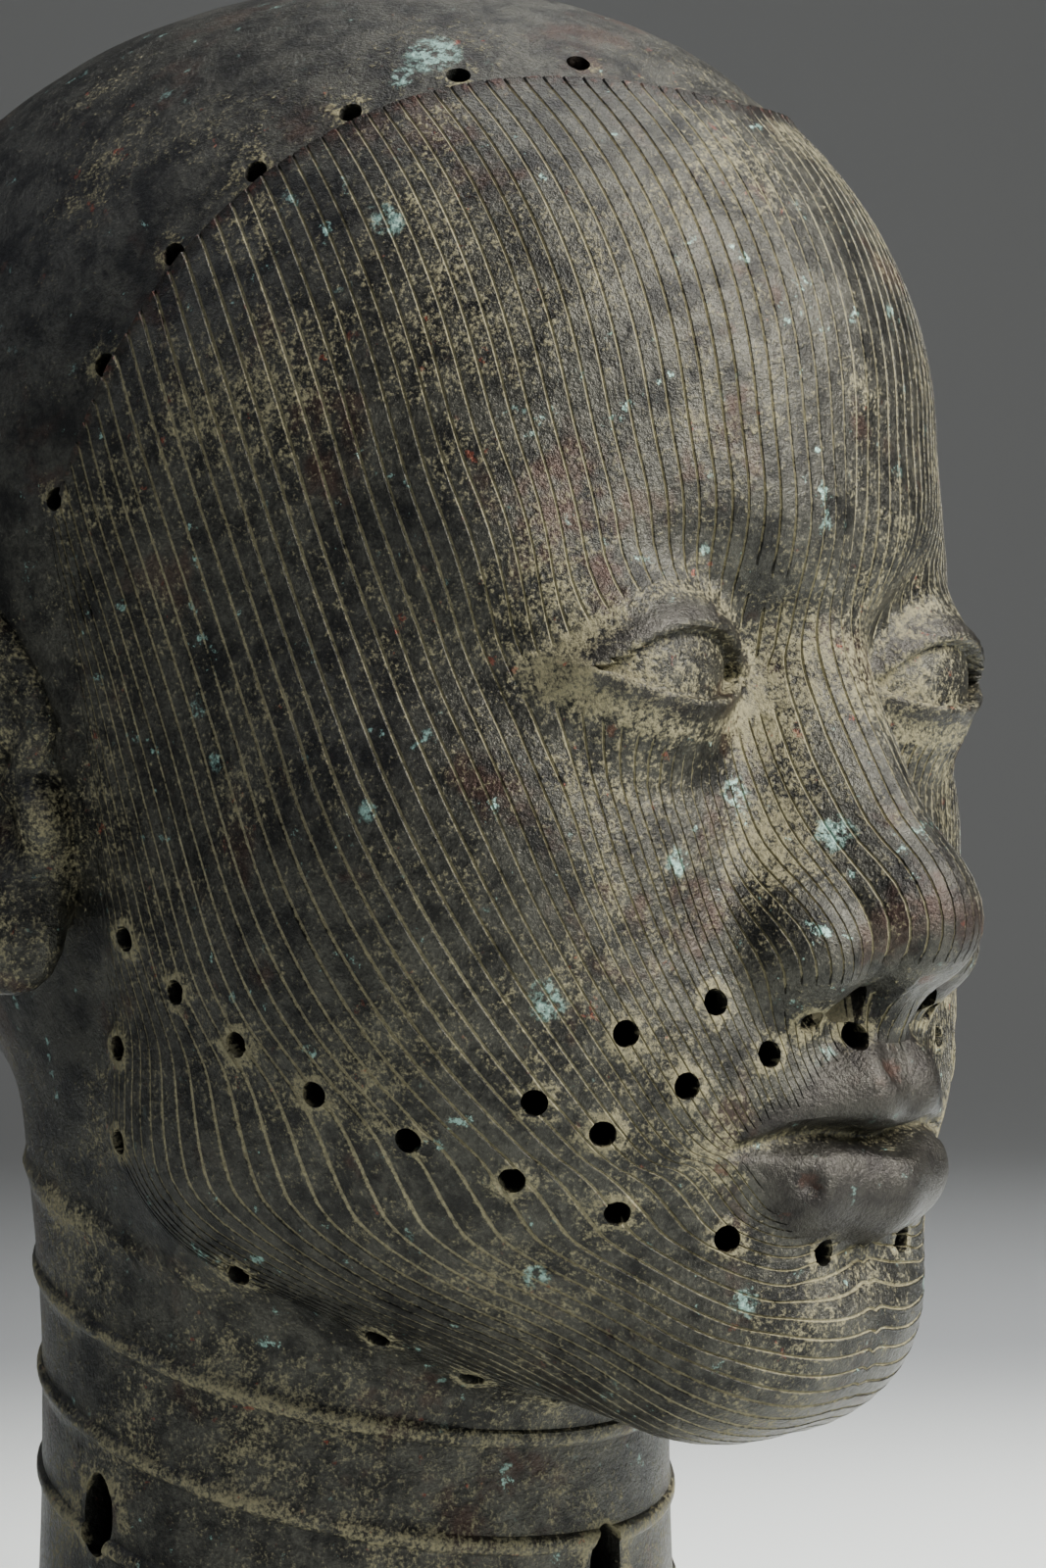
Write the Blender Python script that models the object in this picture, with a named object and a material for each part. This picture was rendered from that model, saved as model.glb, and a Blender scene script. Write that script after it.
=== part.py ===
"""Hollow cast bronze head on its neck, in the style of the old Ife castings.

The face looks along -Y, the head's left side is at +X, and the neck's cut end rests on z = 0.
The form is worked in shares: the head is 220 shares tall from chin to crown, z is counted up from
the chin's level, and the x of every point is mirrored, so one half describes both. Walls and holes
are real sizes in metres, which SHARE turns into shares.
"""
import bpy
import bmesh
import numpy as np
from mathutils import Matrix

# Driving sizes in metres
HEAD_HEIGHT = 0.220       # chin to crown
NECK_DROP = 0.068         # chin level to the flat cut end of the neck
WALL = 0.0045             # thickness of the cast wall
HAIR_HOLE = 0.0036        # bore of the holes along the hairline
BEARD_HOLE = 0.0039       # bore of the holes of the moustache and beard
NAIL_HOLE = 0.0075        # width of the four nail holes in the neck
NAIL_HOLE_TALL = 0.0130   # height of a nail hole
NAIL_UP = 0.048           # height of the side nail holes above the cut end
NOSTRIL = 0.0085          # width of a nostril
NOSTRIL_DEEP = 0.0080     # depth of a nostril

SHARE = HEAD_HEIGHT / 220.0
BASE = -NECK_DROP / SHARE
PROUD = 0.003 / SHARE     # how far a cutter stands out of the surface it cuts

# Landmarks of the form, in shares
CENTRE = np.array([0.0, 0.0, 93.0])
NECK_Y = 4.0
NECK_WIDE = 50.0
NECK_DEEP = 51.0
EYE = np.array([32.0, -71.5, 109.0])
EYE_BALL = 17.5
EYE_HALF = 17.0
LID = 1.6
MOUTH_HALF = 25.0
EAR_Y = 16.0
EAR_Z = 94.0

# The mesh's ribs run from the middle of the face out to its border. Each row below is one rib:
# where it starts and ends, how far it is lifted on its way, and how its steps spread.
RIBS = (
    ((0, -99, 42), (0, -46, 9), 0.0, 1.25),       # 0 throat
    ((0, -99, 42), (41, -31, 18), 0.0, 1.2),      # 1 jaw
    ((0, -99, 42), (59, 4, 39), 0.13, 1.08),      # 2 jaw's corner under the ear
    ((0, -99, 42), (62, 2, 51), 0.18, 1.0),       # 3 mouth
    ((0, -100, 64), (65, 1, 63), 0.12, 1.0),      # 4 foot of the nose
    ((0, -89, 108), (70, -2, 84), 0.06, 1.0),     # 5 eyes
    ((0, -91, 148), (73, -3, 104), 0.08, 1.0),    # 6 forehead
    ((0, -74, 195), (74, -2, 126), 0.17, 1.0),    # 7 hairline
)
CORNER_RIB = 2
MOUTH_RIB = 3
HAIR_RIB = 7

# Mesh steps between rib numbers, closer at the mouth and the eyes, and from the middle to the border
FACE_ROWS = ((0, 1, 4), (1, 2, 3), (2, 2.8, 3), (2.8, 3.2, 4), (3.2, 4, 3), (4, 4.8, 4), (4.8, 5.4, 15), (5.4, 7, 6))
FACE_COLUMNS = ((0, 0.1, 3), (0.1, 0.44, 11), (0.44, 0.6, 2), (0.6, 1, 5))
NAPE_COLUMNS = 16
CAP_RINGS = ((0.08, 2), (0.18, 2), (0.28, 3), (0.38, 3), (0.48, 3), (0.58, 4), (0.68, 4), (0.78, 6), (0.88, 9), (0.96, 18))
POLE = np.array([0.0, 0.8, 0.6])
NECK_ROWS = 6
HAIR_HOLES = 7
BEARD_HOLES = 9
NECK_LEAN = 0.13          # the nail holes' climb towards the nape
HOLE_SIDES = 6


def vec(*v):
    return np.array(v, float)


def unit(v):
    return v / np.linalg.norm(v, axis=-1, keepdims=True)


def rise(x, low, high):
    """Smooth climb from 0 at low to 1 at high."""
    t = np.clip((x - low) / (high - low), 0, 1)
    return t * t * (3 - 2 * t)


def glide(keys, values, at):
    """Smooth curve through the values at the keys, which never swings past them."""
    keys, values, at = np.asarray(keys, float), np.asarray(values, float), np.asarray(at, float)
    values = values.reshape(len(keys), -1)
    climb = np.diff(values, axis=0) / np.diff(keys)[:, None]
    tangent = np.zeros_like(values)
    before, after = climb[:-1], climb[1:]
    total = before + after
    same_way = before * after > 0
    tangent[1:-1] = np.where(same_way, 2 * before * after / np.where(same_way, total, 1), 0)
    tangent[0], tangent[-1] = climb[0], climb[-1]
    i = np.clip(np.searchsorted(keys, at, "right") - 1, 0, len(keys) - 2)
    width = (keys[i + 1] - keys[i])[:, None]
    u = (at - keys[i])[:, None] / width
    curve = values[i] * (1 + 2 * u) * (1 - u) ** 2 + values[i + 1] * u * u * (3 - 2 * u)
    curve += width * (tangent[i] * u * (1 - u) ** 2 + tangent[i + 1] * u * u * (u - 1))
    return curve[:, 0] if curve.shape[1] == 1 else curve


def turn(a, b, f):
    """Directions a share f of the way from a to b."""
    a, b = np.broadcast_arrays(unit(a), unit(b))
    angle = np.arccos(np.clip((a * b).sum(-1), -1, 1))[..., None]
    f = f[..., None]
    between = (np.sin((1 - f) * angle) * a + np.sin(f * angle) * b) / np.maximum(np.sin(angle), 1e-9)
    return np.where(angle > 1e-6, between, a)


# Distances: each form below gives how far points are outside it, in shares

def ellipsoid(p, centre, radii):
    q = p - vec(*centre)
    r = vec(*radii)
    near = np.linalg.norm(q / r, axis=1)
    far = np.linalg.norm(q / (r * r), axis=1)
    return near * (near - 1.0) / np.maximum(far, 1e-9)


def limb(p, a, b, radius_a, radius_b):
    """Round bar from a to b whose radius changes on the way."""
    a, b = vec(*a), vec(*b)
    along = b - a
    t = np.clip(((p - a) @ along) / (along @ along), 0, 1)
    return np.linalg.norm(p - a - t[:, None] * along, axis=1) - (radius_a + (radius_b - radius_a) * t)


def blend(a, b, soft):
    """Both forms, joined by a fillet."""
    h = np.clip(0.5 + 0.5 * (b - a) / soft, 0, 1)
    return b + (a - b) * h - soft * h * (1 - h)


def carve(a, b, soft):
    """The first form with the second taken away."""
    return -blend(-a, b, soft)


def skull(q):
    d = ellipsoid(q, (0, 8, 139), (75, 93, 81))
    d = blend(d, ellipsoid(q, (0, -25, 148), (63, 67.5, 60)), 22)
    return blend(d, ellipsoid(q, (0, 36, 98), (58, 60, 60)), 26)


def cheeks_and_jaw(q):
    d = ellipsoid(q, (0, -20, 86), (64, 67, 66))
    d = blend(d, ellipsoid(q, (36, -51, 90), (28, 29, 25)), 22)
    d = blend(d, ellipsoid(q, (28, -42, 56), (32, 42, 39)), 22)
    d = blend(d, ellipsoid(q, (0, -64, 46), (38, 34, 30)), 18)
    d = blend(d, ellipsoid(q, (0, -76, 14), (23, 20, 15)), 18)
    d = blend(d, limb(q, (10, -70, 18), (38, -14, 36), 16, 19), 20)
    return blend(d, ellipsoid(q, (0, -36, 32), (40, 44, 25)), 14)


def neck(q):
    z = q[:, 2]
    flare = 2.5 * rise(-z, 10, 90) + 4.0 * rise(z, 0, 60)
    r = np.hypot(q[:, 0] / NECK_WIDE, (q[:, 1] - NECK_Y) / NECK_DEEP) * NECK_WIDE
    return np.maximum(r - NECK_WIDE - flare, z - 90)


def nose(q):
    d = limb(q, (0, -80, 114), (0, -98, 80), 9.0, 9.5)
    d = blend(d, ellipsoid(q, (0, -101, 73.5), (12.5, 12, 10.5)), 7)
    d = blend(d, ellipsoid(q, (14.5, -93.5, 69.5), (8.8, 10.5, 8.8)), 4.5)
    d = blend(d, limb(q, (3, -82, 104), (11, -89, 78), 7.0, 7.5), 9)
    return blend(d, limb(q, (0, -104, 65), (0, -96, 60.5), 4.5, 5.5), 3)


def lid_lines(x):
    """Heights of the upper and lower lid's edge, and how far along the eye x is."""
    along = np.clip((x - EYE[0]) / EYE_HALF, -1.15, 1.15)
    level = EYE[2] - 0.8 + 0.5 * along
    return along, level + 8.0 * (1 - np.abs(along) ** 2.2), level - 4.4 * (1 - along ** 2)


def add_eye(q, d):
    """Ball between two raised lids, each with a rolled rim."""
    ball = np.linalg.norm(q - EYE, axis=1) - EYE_BALL
    along, upper, lower = lid_lines(q[:, 0])
    opening = np.maximum(q[:, 2] - upper, lower - q[:, 2])
    lids = np.maximum(np.maximum(ball - LID, -opening), q[:, 1] + 66)
    d = blend(blend(d, lids, 5.0), ball, 0.8)
    past = np.clip(np.abs(along) - 1, 0, 1) * EYE_HALF
    for edge, steep, radius in ((upper, 17.6 * np.abs(along) ** 1.2, 1.6), (lower, 8.8 * np.abs(along), 1.1)):
        lean = 1 + (steep / EYE_HALF) ** 2
        rim = np.sqrt((q[:, 2] - edge) ** 2 / lean + (ball - LID + 0.3) ** 2 + past ** 2) - radius
        d = blend(d, rim, 1.4)
    return d


def mouth_line(x):
    """Height of the closed line between the lips."""
    x = np.abs(x)
    return 42.6 - 1.2 * np.exp(-(x / 5) ** 2) + 0.8 * np.exp(-((x - 11) / 7) ** 2) - 0.9 * rise(x, 17, 27)


def add_lips(q, d):
    d = blend(d, limb(q, (4.5, -96.0, 49.0), (24, -86, 44.5), 7.8, 3.4), 2.6)
    d = blend(d, limb(q, (0, -95.5, 35.5), (12, -92, 36.5), 8.4, 7.4), 3)
    d = blend(d, limb(q, (12, -92, 36.5), (24, -85, 41.0), 7.4, 3.0), 3)
    x = np.abs(q[:, 0])
    past = np.clip(x - MOUTH_HALF, 0, 20)
    width = 1.9 - 1.0 * rise(x, 15, 26)
    parting = np.sqrt((q[:, 2] - mouth_line(x)) ** 2 + (d * 0.7) ** 2 + past ** 2) - width
    d = carve(d, parting, 1.8)
    return carve(d, limb(q, (0, -107.5, 60), (0, -109.5, 54), 4.6, 4.8), 4)


def half(p):
    """Points moved to the +X half, with a soft turn in the middle plane."""
    q = p.copy()
    q[:, 0] = np.sqrt(q[:, 0] ** 2 + 1.7)
    return q


def plain_head(p):
    """Head without the lips and the eyes' fine work."""
    q = half(p)
    d = blend(skull(q), cheeks_and_jaw(q), 18)
    d = blend(d, limb(q, (12, -82, 127), (46, -66, 125), 6.5, 7.0), 18)
    d = carve(d, ellipsoid(q, (32, -99, 111), (20, 16, 13)), 15)
    d = blend(d, nose(q), 6.5)
    d = carve(d, ellipsoid(q, (0, -106, 26), (24, 9, 5)), 8)
    return blend(d, neck(q), 10)


def head(p):
    q = half(p)
    return add_lips(q, add_eye(q, plain_head(p)))


def hollow(p):
    """The core that filled the casting: the plain form less its wall, and smoother."""
    q = half(p)
    d = blend(skull(q), cheeks_and_jaw(q), 22)
    return blend(d, neck(q), 16) + WALL / SHARE


def slope(form, p, reach=0.1):
    """Directions in which the distance to the form grows."""
    g = np.empty_like(p)
    for axis in range(3):
        shift = np.zeros(3)
        shift[axis] = reach
        g[:, axis] = form(p + shift) - form(p - shift)
    return unit(g)


def reach_surface(form, start, ray, travel, steps=30):
    """Points where rays that come in from outside, travel away from start, first meet the form."""
    for _ in range(steps):
        travel = travel - np.clip(form(start + ray * travel[:, None]), -3, 30) * 0.85
    return start + ray * travel[:, None]


def leave_form(form, start, ray, steps=60):
    """Points where rays that start inside the form first come out of it."""
    travel = np.zeros(len(ray))
    for _ in range(steps):
        travel = travel - np.clip(form(start + ray * travel[:, None]), -12, 3) * 0.8
    return start + ray * travel[:, None]


# The mesh: rows of points on the form, which follow the flow of the face

def from_centre(rays, form):
    flat = rays.reshape(-1, 3)
    return reach_surface(form, CENTRE, flat, np.full(len(flat), 150.0))


def face_rays(rib, side):
    """Directions from the centre for each rib number and each share of the way out, -1 to 1."""
    start, end, lift, ease = (glide(range(len(RIBS)), column, rib) for column in zip(*RIBS))
    out = np.abs(side)[None, :] ** ease[:, None]
    rays = turn((start - CENTRE)[:, None, :], (end - CENTRE)[:, None, :], out)
    lift = lift[:, None] * np.sin(np.pi * out) * (1 - 0.25 * np.cos(np.pi * out))
    rays = unit(rays + lift[..., None] * vec(0.15, 0, 1.0))
    rays[..., 0] *= np.where(side < 0, -1, 1)[None, :]
    return rays


def nape_rays(side):
    """Directions along the nape from the right ear (-1) to the left ear (1)."""
    angle = np.radians(180 - 90 * np.abs(side))
    across = 59 * np.sin(angle) * np.sign(side)
    back = NECK_Y - 55 * np.cos(angle)
    level = 39 + 17 * np.sin(angle - np.pi / 2)
    return unit(np.stack([across, back, level], -1) - CENTRE)


def eye_level(rib, x):
    """Height at which a rib runs past the eye, so that ribs lie along both lids."""
    along, upper, lower = lid_lines(np.abs(x))
    upper, lower = np.maximum(upper, lower + 1.6), np.minimum(lower, upper - 1.6)
    at = np.array((4.82, 4.93, 4.97, 5.01, 5.20, 5.25, 5.30, 5.42))
    levels = np.stack([lower - 8, lower - 2.2, lower - 0.7, lower + 0.6, upper - 0.8, upper + 0.6, upper + 2.4, upper + 9], -1)
    i = np.clip(np.searchsorted(at, rib) - 1, 0, len(at) - 2)
    f = (rib - at[i]) / (at[i + 1] - at[i])
    n = np.arange(len(x))
    return levels[n, i] * (1 - f) + levels[n, i + 1] * f


def on_face(rib, side):
    """Points of the face: the plain head first, then out or in along its own slope to the lips and lids."""
    p = from_centre(face_rays(rib, side), plain_head)
    rib_of = np.repeat(rib, len(side))
    x = np.abs(p[:, 0])
    parting = from_centre(face_rays(np.array([MOUTH_RIB]), np.linspace(0, 1, 40)), plain_head)[:24]
    to_line = mouth_line(x) - np.interp(x, parting[:, 0], parting[:, 2])
    by_mouth = np.exp(-((rib_of - MOUTH_RIB) / 0.7) ** 2 * rise(x, 0, 8)) * (1 - rise(x, MOUTH_HALF, 40))
    p[:, 2] += to_line * by_mouth
    by_eye = rise(rib_of, 4.5, 4.85) * (1 - rise(rib_of, 5.4, 5.8))
    by_eye = by_eye * (1 - rise(np.abs(x - EYE[0]), EYE_HALF, 1.7 * EYE_HALF))
    p[:, 2] += by_eye * (eye_level(rib_of, x) - p[:, 2])
    p = reach_surface(plain_head, p, slope(plain_head, p), np.zeros(len(p)), 4)
    out = slope(plain_head, p, 3.0)
    worked = (p[:, 1] < -50) & (p[:, 2] > 22) & (p[:, 2] < 140)
    q = p.copy()
    q[worked] = reach_surface(head, p[worked], out[worked], np.full(worked.sum(), 12.0))
    return q


def neck_points(loop, down):
    """Rows from the loop under the jaw and nape down to the cut end, by shares down of the way."""
    angle = np.arctan2(loop[:, 0], NECK_Y - loop[:, 1])
    ray = np.stack([np.sin(angle), -np.cos(angle), 0 * angle], -1)
    rows = []
    for share in down:
        level = loop[:, 2] + (BASE - loop[:, 2]) * share
        axis = np.stack([0 * level, NECK_Y + 0 * level, level], -1)
        rows.append(leave_form(plain_head, axis, ray))
    rows[-1][:, 2] = BASE
    return np.stack(rows)


def stepped(spans):
    """Numbers from the first span's start to the last one's end, each span in its own count of steps."""
    parts = [np.linspace(low, high, count, endpoint=False) for low, high, count in spans]
    return np.concatenate(parts + [[spans[-1][1]]])


def strip(number):
    """Quads between neighbouring rows and columns of a numbered grid."""
    return np.stack([number[:-1, :-1], number[:-1, 1:], number[1:, 1:], number[1:, :-1]], -1).reshape(-1, 4).tolist()


def fan(outer, inner):
    """Faces between a closed ring of numbers and one with fewer, each inner step facing several outer ones."""
    n, m = len(outer), len(inner)
    at = [round(j * n / m) for j in range(m + 1)]
    faces = []
    for j in range(m):
        edge = [outer[i % n] for i in range(at[j], at[j + 1] + 1)]
        faces.append(edge + [inner[(j + 1) % m], inner[j]])
    return faces


def outer_skin():
    """Points and faces of the whole outside, closed at the cut end."""
    rib = stepped(FACE_ROWS)
    out = stepped(FACE_COLUMNS)
    side = np.concatenate([-out[:0:-1], out])
    face = on_face(rib, side)
    number = np.arange(len(face)).reshape(len(rib), len(side))
    points, faces = [face], strip(number)
    used = len(face)

    behind = np.flatnonzero(rib >= CORNER_RIB)
    nape = nape_rays(np.linspace(1, -1, NAPE_COLUMNS + 1)[1:-1])
    points.append(from_centre(nape, plain_head))
    nape_number = np.arange(used, used + len(nape))
    used += len(nape)
    ring = np.concatenate([number[-1], number[behind[-2::-1], -1], nape_number, number[behind[:-1], 0]])
    edge = unit(np.concatenate(points)[ring] - CENTRE)
    for share, thin in CAP_RINGS:
        count = len(edge) // thin
        pick = [round(j * len(edge) / count) for j in range(count)]
        points.append(from_centre(turn(edge[pick], POLE, np.full(count, share)), plain_head))
        inner = np.arange(used, used + count)
        if count < len(ring):
            faces += fan(ring, inner)
        else:
            faces += strip(np.array([np.append(ring, ring[0]), np.append(inner, inner[0])]))
        ring = inner
        used += count
    faces.append(ring.tolist())

    jaw = np.flatnonzero(rib <= CORNER_RIB)
    loop = np.concatenate([number[jaw, -1], nape_number, number[jaw[:0:-1], 0]])
    rows = neck_points(np.concatenate(points)[loop], np.linspace(0, 1, NECK_ROWS + 1)[1:])
    numbers = np.concatenate([[loop], np.arange(used, used + rows.shape[0] * len(loop)).reshape(-1, len(loop))])
    points.append(rows.reshape(-1, 3))
    faces += strip(np.concatenate([numbers, numbers[:, :1]], 1))
    faces.append(numbers[-1].tolist())
    return np.concatenate(points), faces


def closed_mesh(name, points, faces):
    """Mesh in metres from points in shares, with shared points joined and its faces pointing out."""
    mesh = bpy.data.meshes.new(name)
    work = bmesh.new()
    verts = [work.verts.new(p) for p in np.asarray(points) * SHARE]
    for face in faces:
        corners = list(dict.fromkeys(verts[i] for i in face))
        if len(corners) > 2:
            work.faces.new(corners)
    bmesh.ops.remove_doubles(work, verts=work.verts, dist=0.00002)
    bmesh.ops.dissolve_degenerate(work, edges=work.edges, dist=0.00001)
    bmesh.ops.recalc_face_normals(work, faces=work.faces)
    work.to_mesh(mesh)
    work.free()
    mesh.shade_smooth()
    return mesh


def add_object(name, mesh):
    item = bpy.data.objects.new(name, mesh)
    bpy.context.scene.collection.objects.link(item)
    return item


def ball_faces(rows, around):
    """Faces of a closed round grid with a single point at each pole."""
    faces = [[0, 1 + (i + 1) % around, 1 + i] for i in range(around)]
    for row in range(rows - 1):
        first = 1 + row * around
        for i in range(around):
            j = (i + 1) % around
            faces.append([first + i, first + j, first + around + j, first + around + i])
    last = 1 + (rows - 1) * around
    faces += [[last + i, last + (i + 1) % around, last + around] for i in range(around)]
    return faces


def ball_rays(polar, around):
    """Directions down a ball from +Z to -Z at the polar angles, with one at each pole."""
    turns = 2 * np.pi * np.arange(around) / around
    rings = [np.stack([np.sin(a) * np.sin(turns), -np.sin(a) * np.cos(turns), np.cos(a) + 0 * turns], -1) for a in polar]
    return np.concatenate([[vec(0, 0, 1)]] + rings + [[vec(0, 0, -1)]])


def ear_form(p):
    """Left ear in its own frame: x to the back of the head, y up, z outward."""
    d = ellipsoid(p, (1.5, -1, 0), (15.5, 27, 4.6))
    d = blend(d, ellipsoid(p, (-2, -24, 0.3), (8.6, 9, 4.4)), 5)
    d = blend(d, ellipsoid(p, (-4, -2, -7), (13, 23, 8)), 5)
    d = carve(d, ellipsoid(p, (-1.5, -4, 7.5), (8.8, 11, 9.5)), 2.0)
    d = carve(d, ellipsoid(p, (4, 13, 7.5), (8.5, 9.5, 6.5)), 3.0)
    angle = np.radians(np.linspace(168, -42, 15))
    rim = np.stack([1.5 + 14.6 * np.cos(angle), 1 + 25.5 * np.sin(angle), 2.6 + 0.8 * np.sin(angle)], 1)
    rim = np.concatenate([[(-6.5, -2.5, 1.0), (-10.5, 2.5, 2.0)], rim])
    for a, b in zip(rim[:-1], rim[1:]):
        d = blend(d, limb(p, a, b, 2.7, 2.7), 1.2)
    fold = ((3, 19.5, 2.4), (7.2, 10, 3.4), (8.6, 0, 3.8), (6.4, -10, 3.6), (1.5, -15.5, 3.2))
    for a, b in zip(fold[:-1], fold[1:]):
        d = blend(d, limb(p, a, b, 2.3, 2.3), 2.0)
    return blend(d, ellipsoid(p, (-10.5, -7.5, 2.2), (3.6, 5.4, 4.2)), 2.5)


def ear_points(side):
    """Points of one ear in the head's frame; side is 1 for the left and -1 for the right."""
    root = vec(-2, -2, -7)
    polar = np.radians(np.concatenate([np.linspace(12, 60, 5), np.linspace(68, 104, 6), [122, 145, 165]]))
    rays = ball_rays(polar, 16)
    p = reach_surface(ear_form, root, rays, np.full(len(rays), 60.0))
    start = vec(0, EAR_Y, EAR_Z)[None]
    seat = leave_form(plain_head, start, vec(1, 0, 0)[None])[0]
    lean, flare = np.radians(8), np.radians(20)
    back, up, out = p[:, 0], p[:, 1], p[:, 2]
    back, up = back * np.cos(lean) + up * np.sin(lean), up * np.cos(lean) - back * np.sin(lean)
    back, out = back * np.cos(flare) - out * np.sin(flare), out * np.cos(flare) + back * np.sin(flare)
    return np.stack([side * (seat[0] + 4 + out), EAR_Y + back, EAR_Z + up], -1), ball_faces(len(polar), 16)


def cavity():
    """The inside of the casting, which runs out past the cut end."""
    polar = np.radians(stepped(((12, 96, 6), (96, 138, 7))))
    around = 28
    rays = ball_rays(polar, around)
    head_part = reach_surface(hollow, CENTRE, rays[:-1], np.full(len(rays) - 1, 150.0))
    flat = unit(rays[-1 - around:-1] * vec(1, 1, 0))
    levels = (2, -20, -45, BASE - PROUD)
    rings = [leave_form(hollow, np.tile(vec(0, NECK_Y, level), (around, 1)), flat) for level in levels]
    points = np.concatenate([head_part] + rings + [[vec(0, NECK_Y, levels[-1])]])
    return points, ball_faces(len(polar) + len(levels), around)


# The holes: each is a short bar pushed through the wall along the surface's slope

def bar(at, out, wide, tall, sides, outward, inward):
    """Elliptical bar through the point at, along out, with its tall axis as near to z as it goes."""
    across = unit(np.cross(vec(0, 0, 1), out))
    up = np.cross(out, across)
    turns = 2 * np.pi * (np.arange(sides) + 0.5) / sides
    ring = across * np.cos(turns)[:, None] * wide / 2 + up * np.sin(turns)[:, None] * tall / 2
    points = np.concatenate([at + out * outward + ring, at - out * inward + ring])
    faces = [list(range(sides)), list(range(2 * sides - 1, sides - 1, -1))]
    faces += [[i, i + sides, (i + 1) % sides + sides, (i + 1) % sides] for i in range(sides)]
    return points, faces


def by_angle(angles, levels):
    """Places on both halves, by degrees round from the middle of the face and by height."""
    angles, levels = np.radians(np.concatenate([angles, -angles])), np.concatenate([levels, levels])
    rays = np.stack([np.sin(angles), -np.cos(angles), 0 * angles], -1)
    start = np.stack([0 * levels, 0 * levels, levels], -1)
    return reach_surface(plain_head, start, rays, np.full(len(rays), 150.0))


def by_rib(ribs, side):
    """Places on both halves, by rib number and share of the way out."""
    return from_centre(face_rays(np.asarray(ribs, float), np.array([side, -side])), plain_head)


def beard_places():
    """Two rows of the moustache, the beard's row across the cheek and chin, and its row under the jaw."""
    beard = np.linspace(6, 84, BEARD_HOLES)
    places = [by_angle(beard, 25 + 50 * (beard / 90) ** 1.45)]
    places.append(by_angle(np.array((4, 13, 21, 28)), np.array((57, 55, 51, 44.5))))
    places.append(by_angle(np.array((9, 18, 26.5, 34)), np.array((59.5, 62.5, 58.5, 49))))
    places.append(by_rib((3.0, 1.95, 1.4, 0.95, 0.6, 0.3), 0.965))
    places.append(by_rib((0,), 0.965)[:1])
    return np.concatenate(places)


def hair_places():
    """Row just above the hairline."""
    sides = np.linspace(0.16, 0.96, HAIR_HOLES)
    return from_centre(face_rays(np.array([HAIR_RIB + 0.1]), np.concatenate([sides, -sides])), plain_head)


def nail_places():
    """One tall hole in each quarter of the neck: throat, nape and both sides."""
    angles = np.radians((0, 100, 180, 260))
    rays = np.stack([np.sin(angles), -np.cos(angles), 0 * angles], -1)
    level = BASE + NAIL_UP / SHARE - NECK_LEAN * NECK_DEEP * np.cos(angles)
    return leave_form(plain_head, np.stack([0 * level, NECK_Y + 0 * level, level], -1), rays)


def hole_cutters():
    through = 2.5 * WALL / SHARE
    rows = (
        (hair_places(), HAIR_HOLE, HAIR_HOLE, HOLE_SIDES),
        (beard_places(), BEARD_HOLE, BEARD_HOLE, HOLE_SIDES),
        (nail_places(), NAIL_HOLE, NAIL_HOLE_TALL, 2 * HOLE_SIDES),
    )
    bars = []
    for places, wide, tall, sides in rows:
        for at, out in zip(places, slope(plain_head, places, 6.0)):
            bars.append(bar(at, out, wide / SHARE, tall / SHARE, sides, PROUD, through))
    for sign in (1, -1):
        way_out = unit(vec(0.2 * sign, -0.3, -0.9))
        tall = 0.8 * NOSTRIL / SHARE
        bars.append(bar(vec(9.5 * sign, -97, 62.5), way_out, NOSTRIL / SHARE, tall, 8, PROUD, NOSTRIL_DEEP / SHARE))
    return bars


def joined(parts):
    points, faces, used = [], [], 0
    for part_points, part_faces in parts:
        points.append(part_points)
        faces += [[i + used for i in face] for face in part_faces]
        used += len(part_points)
    return np.concatenate(points), faces


def modify(item, tool, operation):
    boolean = item.modifiers.new(tool.name, "BOOLEAN")
    boolean.object = tool
    boolean.operation = operation
    boolean.solver = "EXACT"
    tool.hide_render = True
    tool.display_type = "WIRE"


def bronze():
    material = bpy.data.materials.new("aged_bronze")
    material.use_nodes = True
    shader = material.node_tree.nodes["Principled BSDF"]
    shader.inputs["Base Color"].default_value = (0.062, 0.055, 0.042, 1)
    shader.inputs["Metallic"].default_value = 0.6
    shader.inputs["Roughness"].default_value = 0.5
    return material


def build():
    for item in list(bpy.data.objects):
        bpy.data.objects.remove(item)
    points, faces = outer_skin()
    skin = add_object("head", closed_mesh("head", points, faces))
    skin.data.materials.append(bronze())
    for side, name in ((1, "left_ear_form"), (-1, "right_ear_form")):
        modify(skin, add_object(name, closed_mesh(name, *ear_points(side))), "UNION")
    modify(skin, add_object("cavity", closed_mesh("cavity", *cavity())), "DIFFERENCE")
    modify(skin, add_object("holes", closed_mesh("holes", *joined(hole_cutters()))), "DIFFERENCE")
    middle = (points[:, 1].min() + points[:, 1].max()) / 2 * SHARE
    to_base = Matrix.Translation((0, -middle, NECK_DROP))
    for item in bpy.data.objects:
        item.data.transform(to_base)


build()
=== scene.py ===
"""Scene of a hollow cast bronze head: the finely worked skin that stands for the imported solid, its
finish, the stage, the light and the camera.

The form is worked in millimetres with z counted up from the chin's level, and the x of every point
is mirrored, so one half describes both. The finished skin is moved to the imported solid's place.
"""
import math
import bpy
import bmesh
import numpy as np
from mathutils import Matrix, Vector, kdtree


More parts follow.
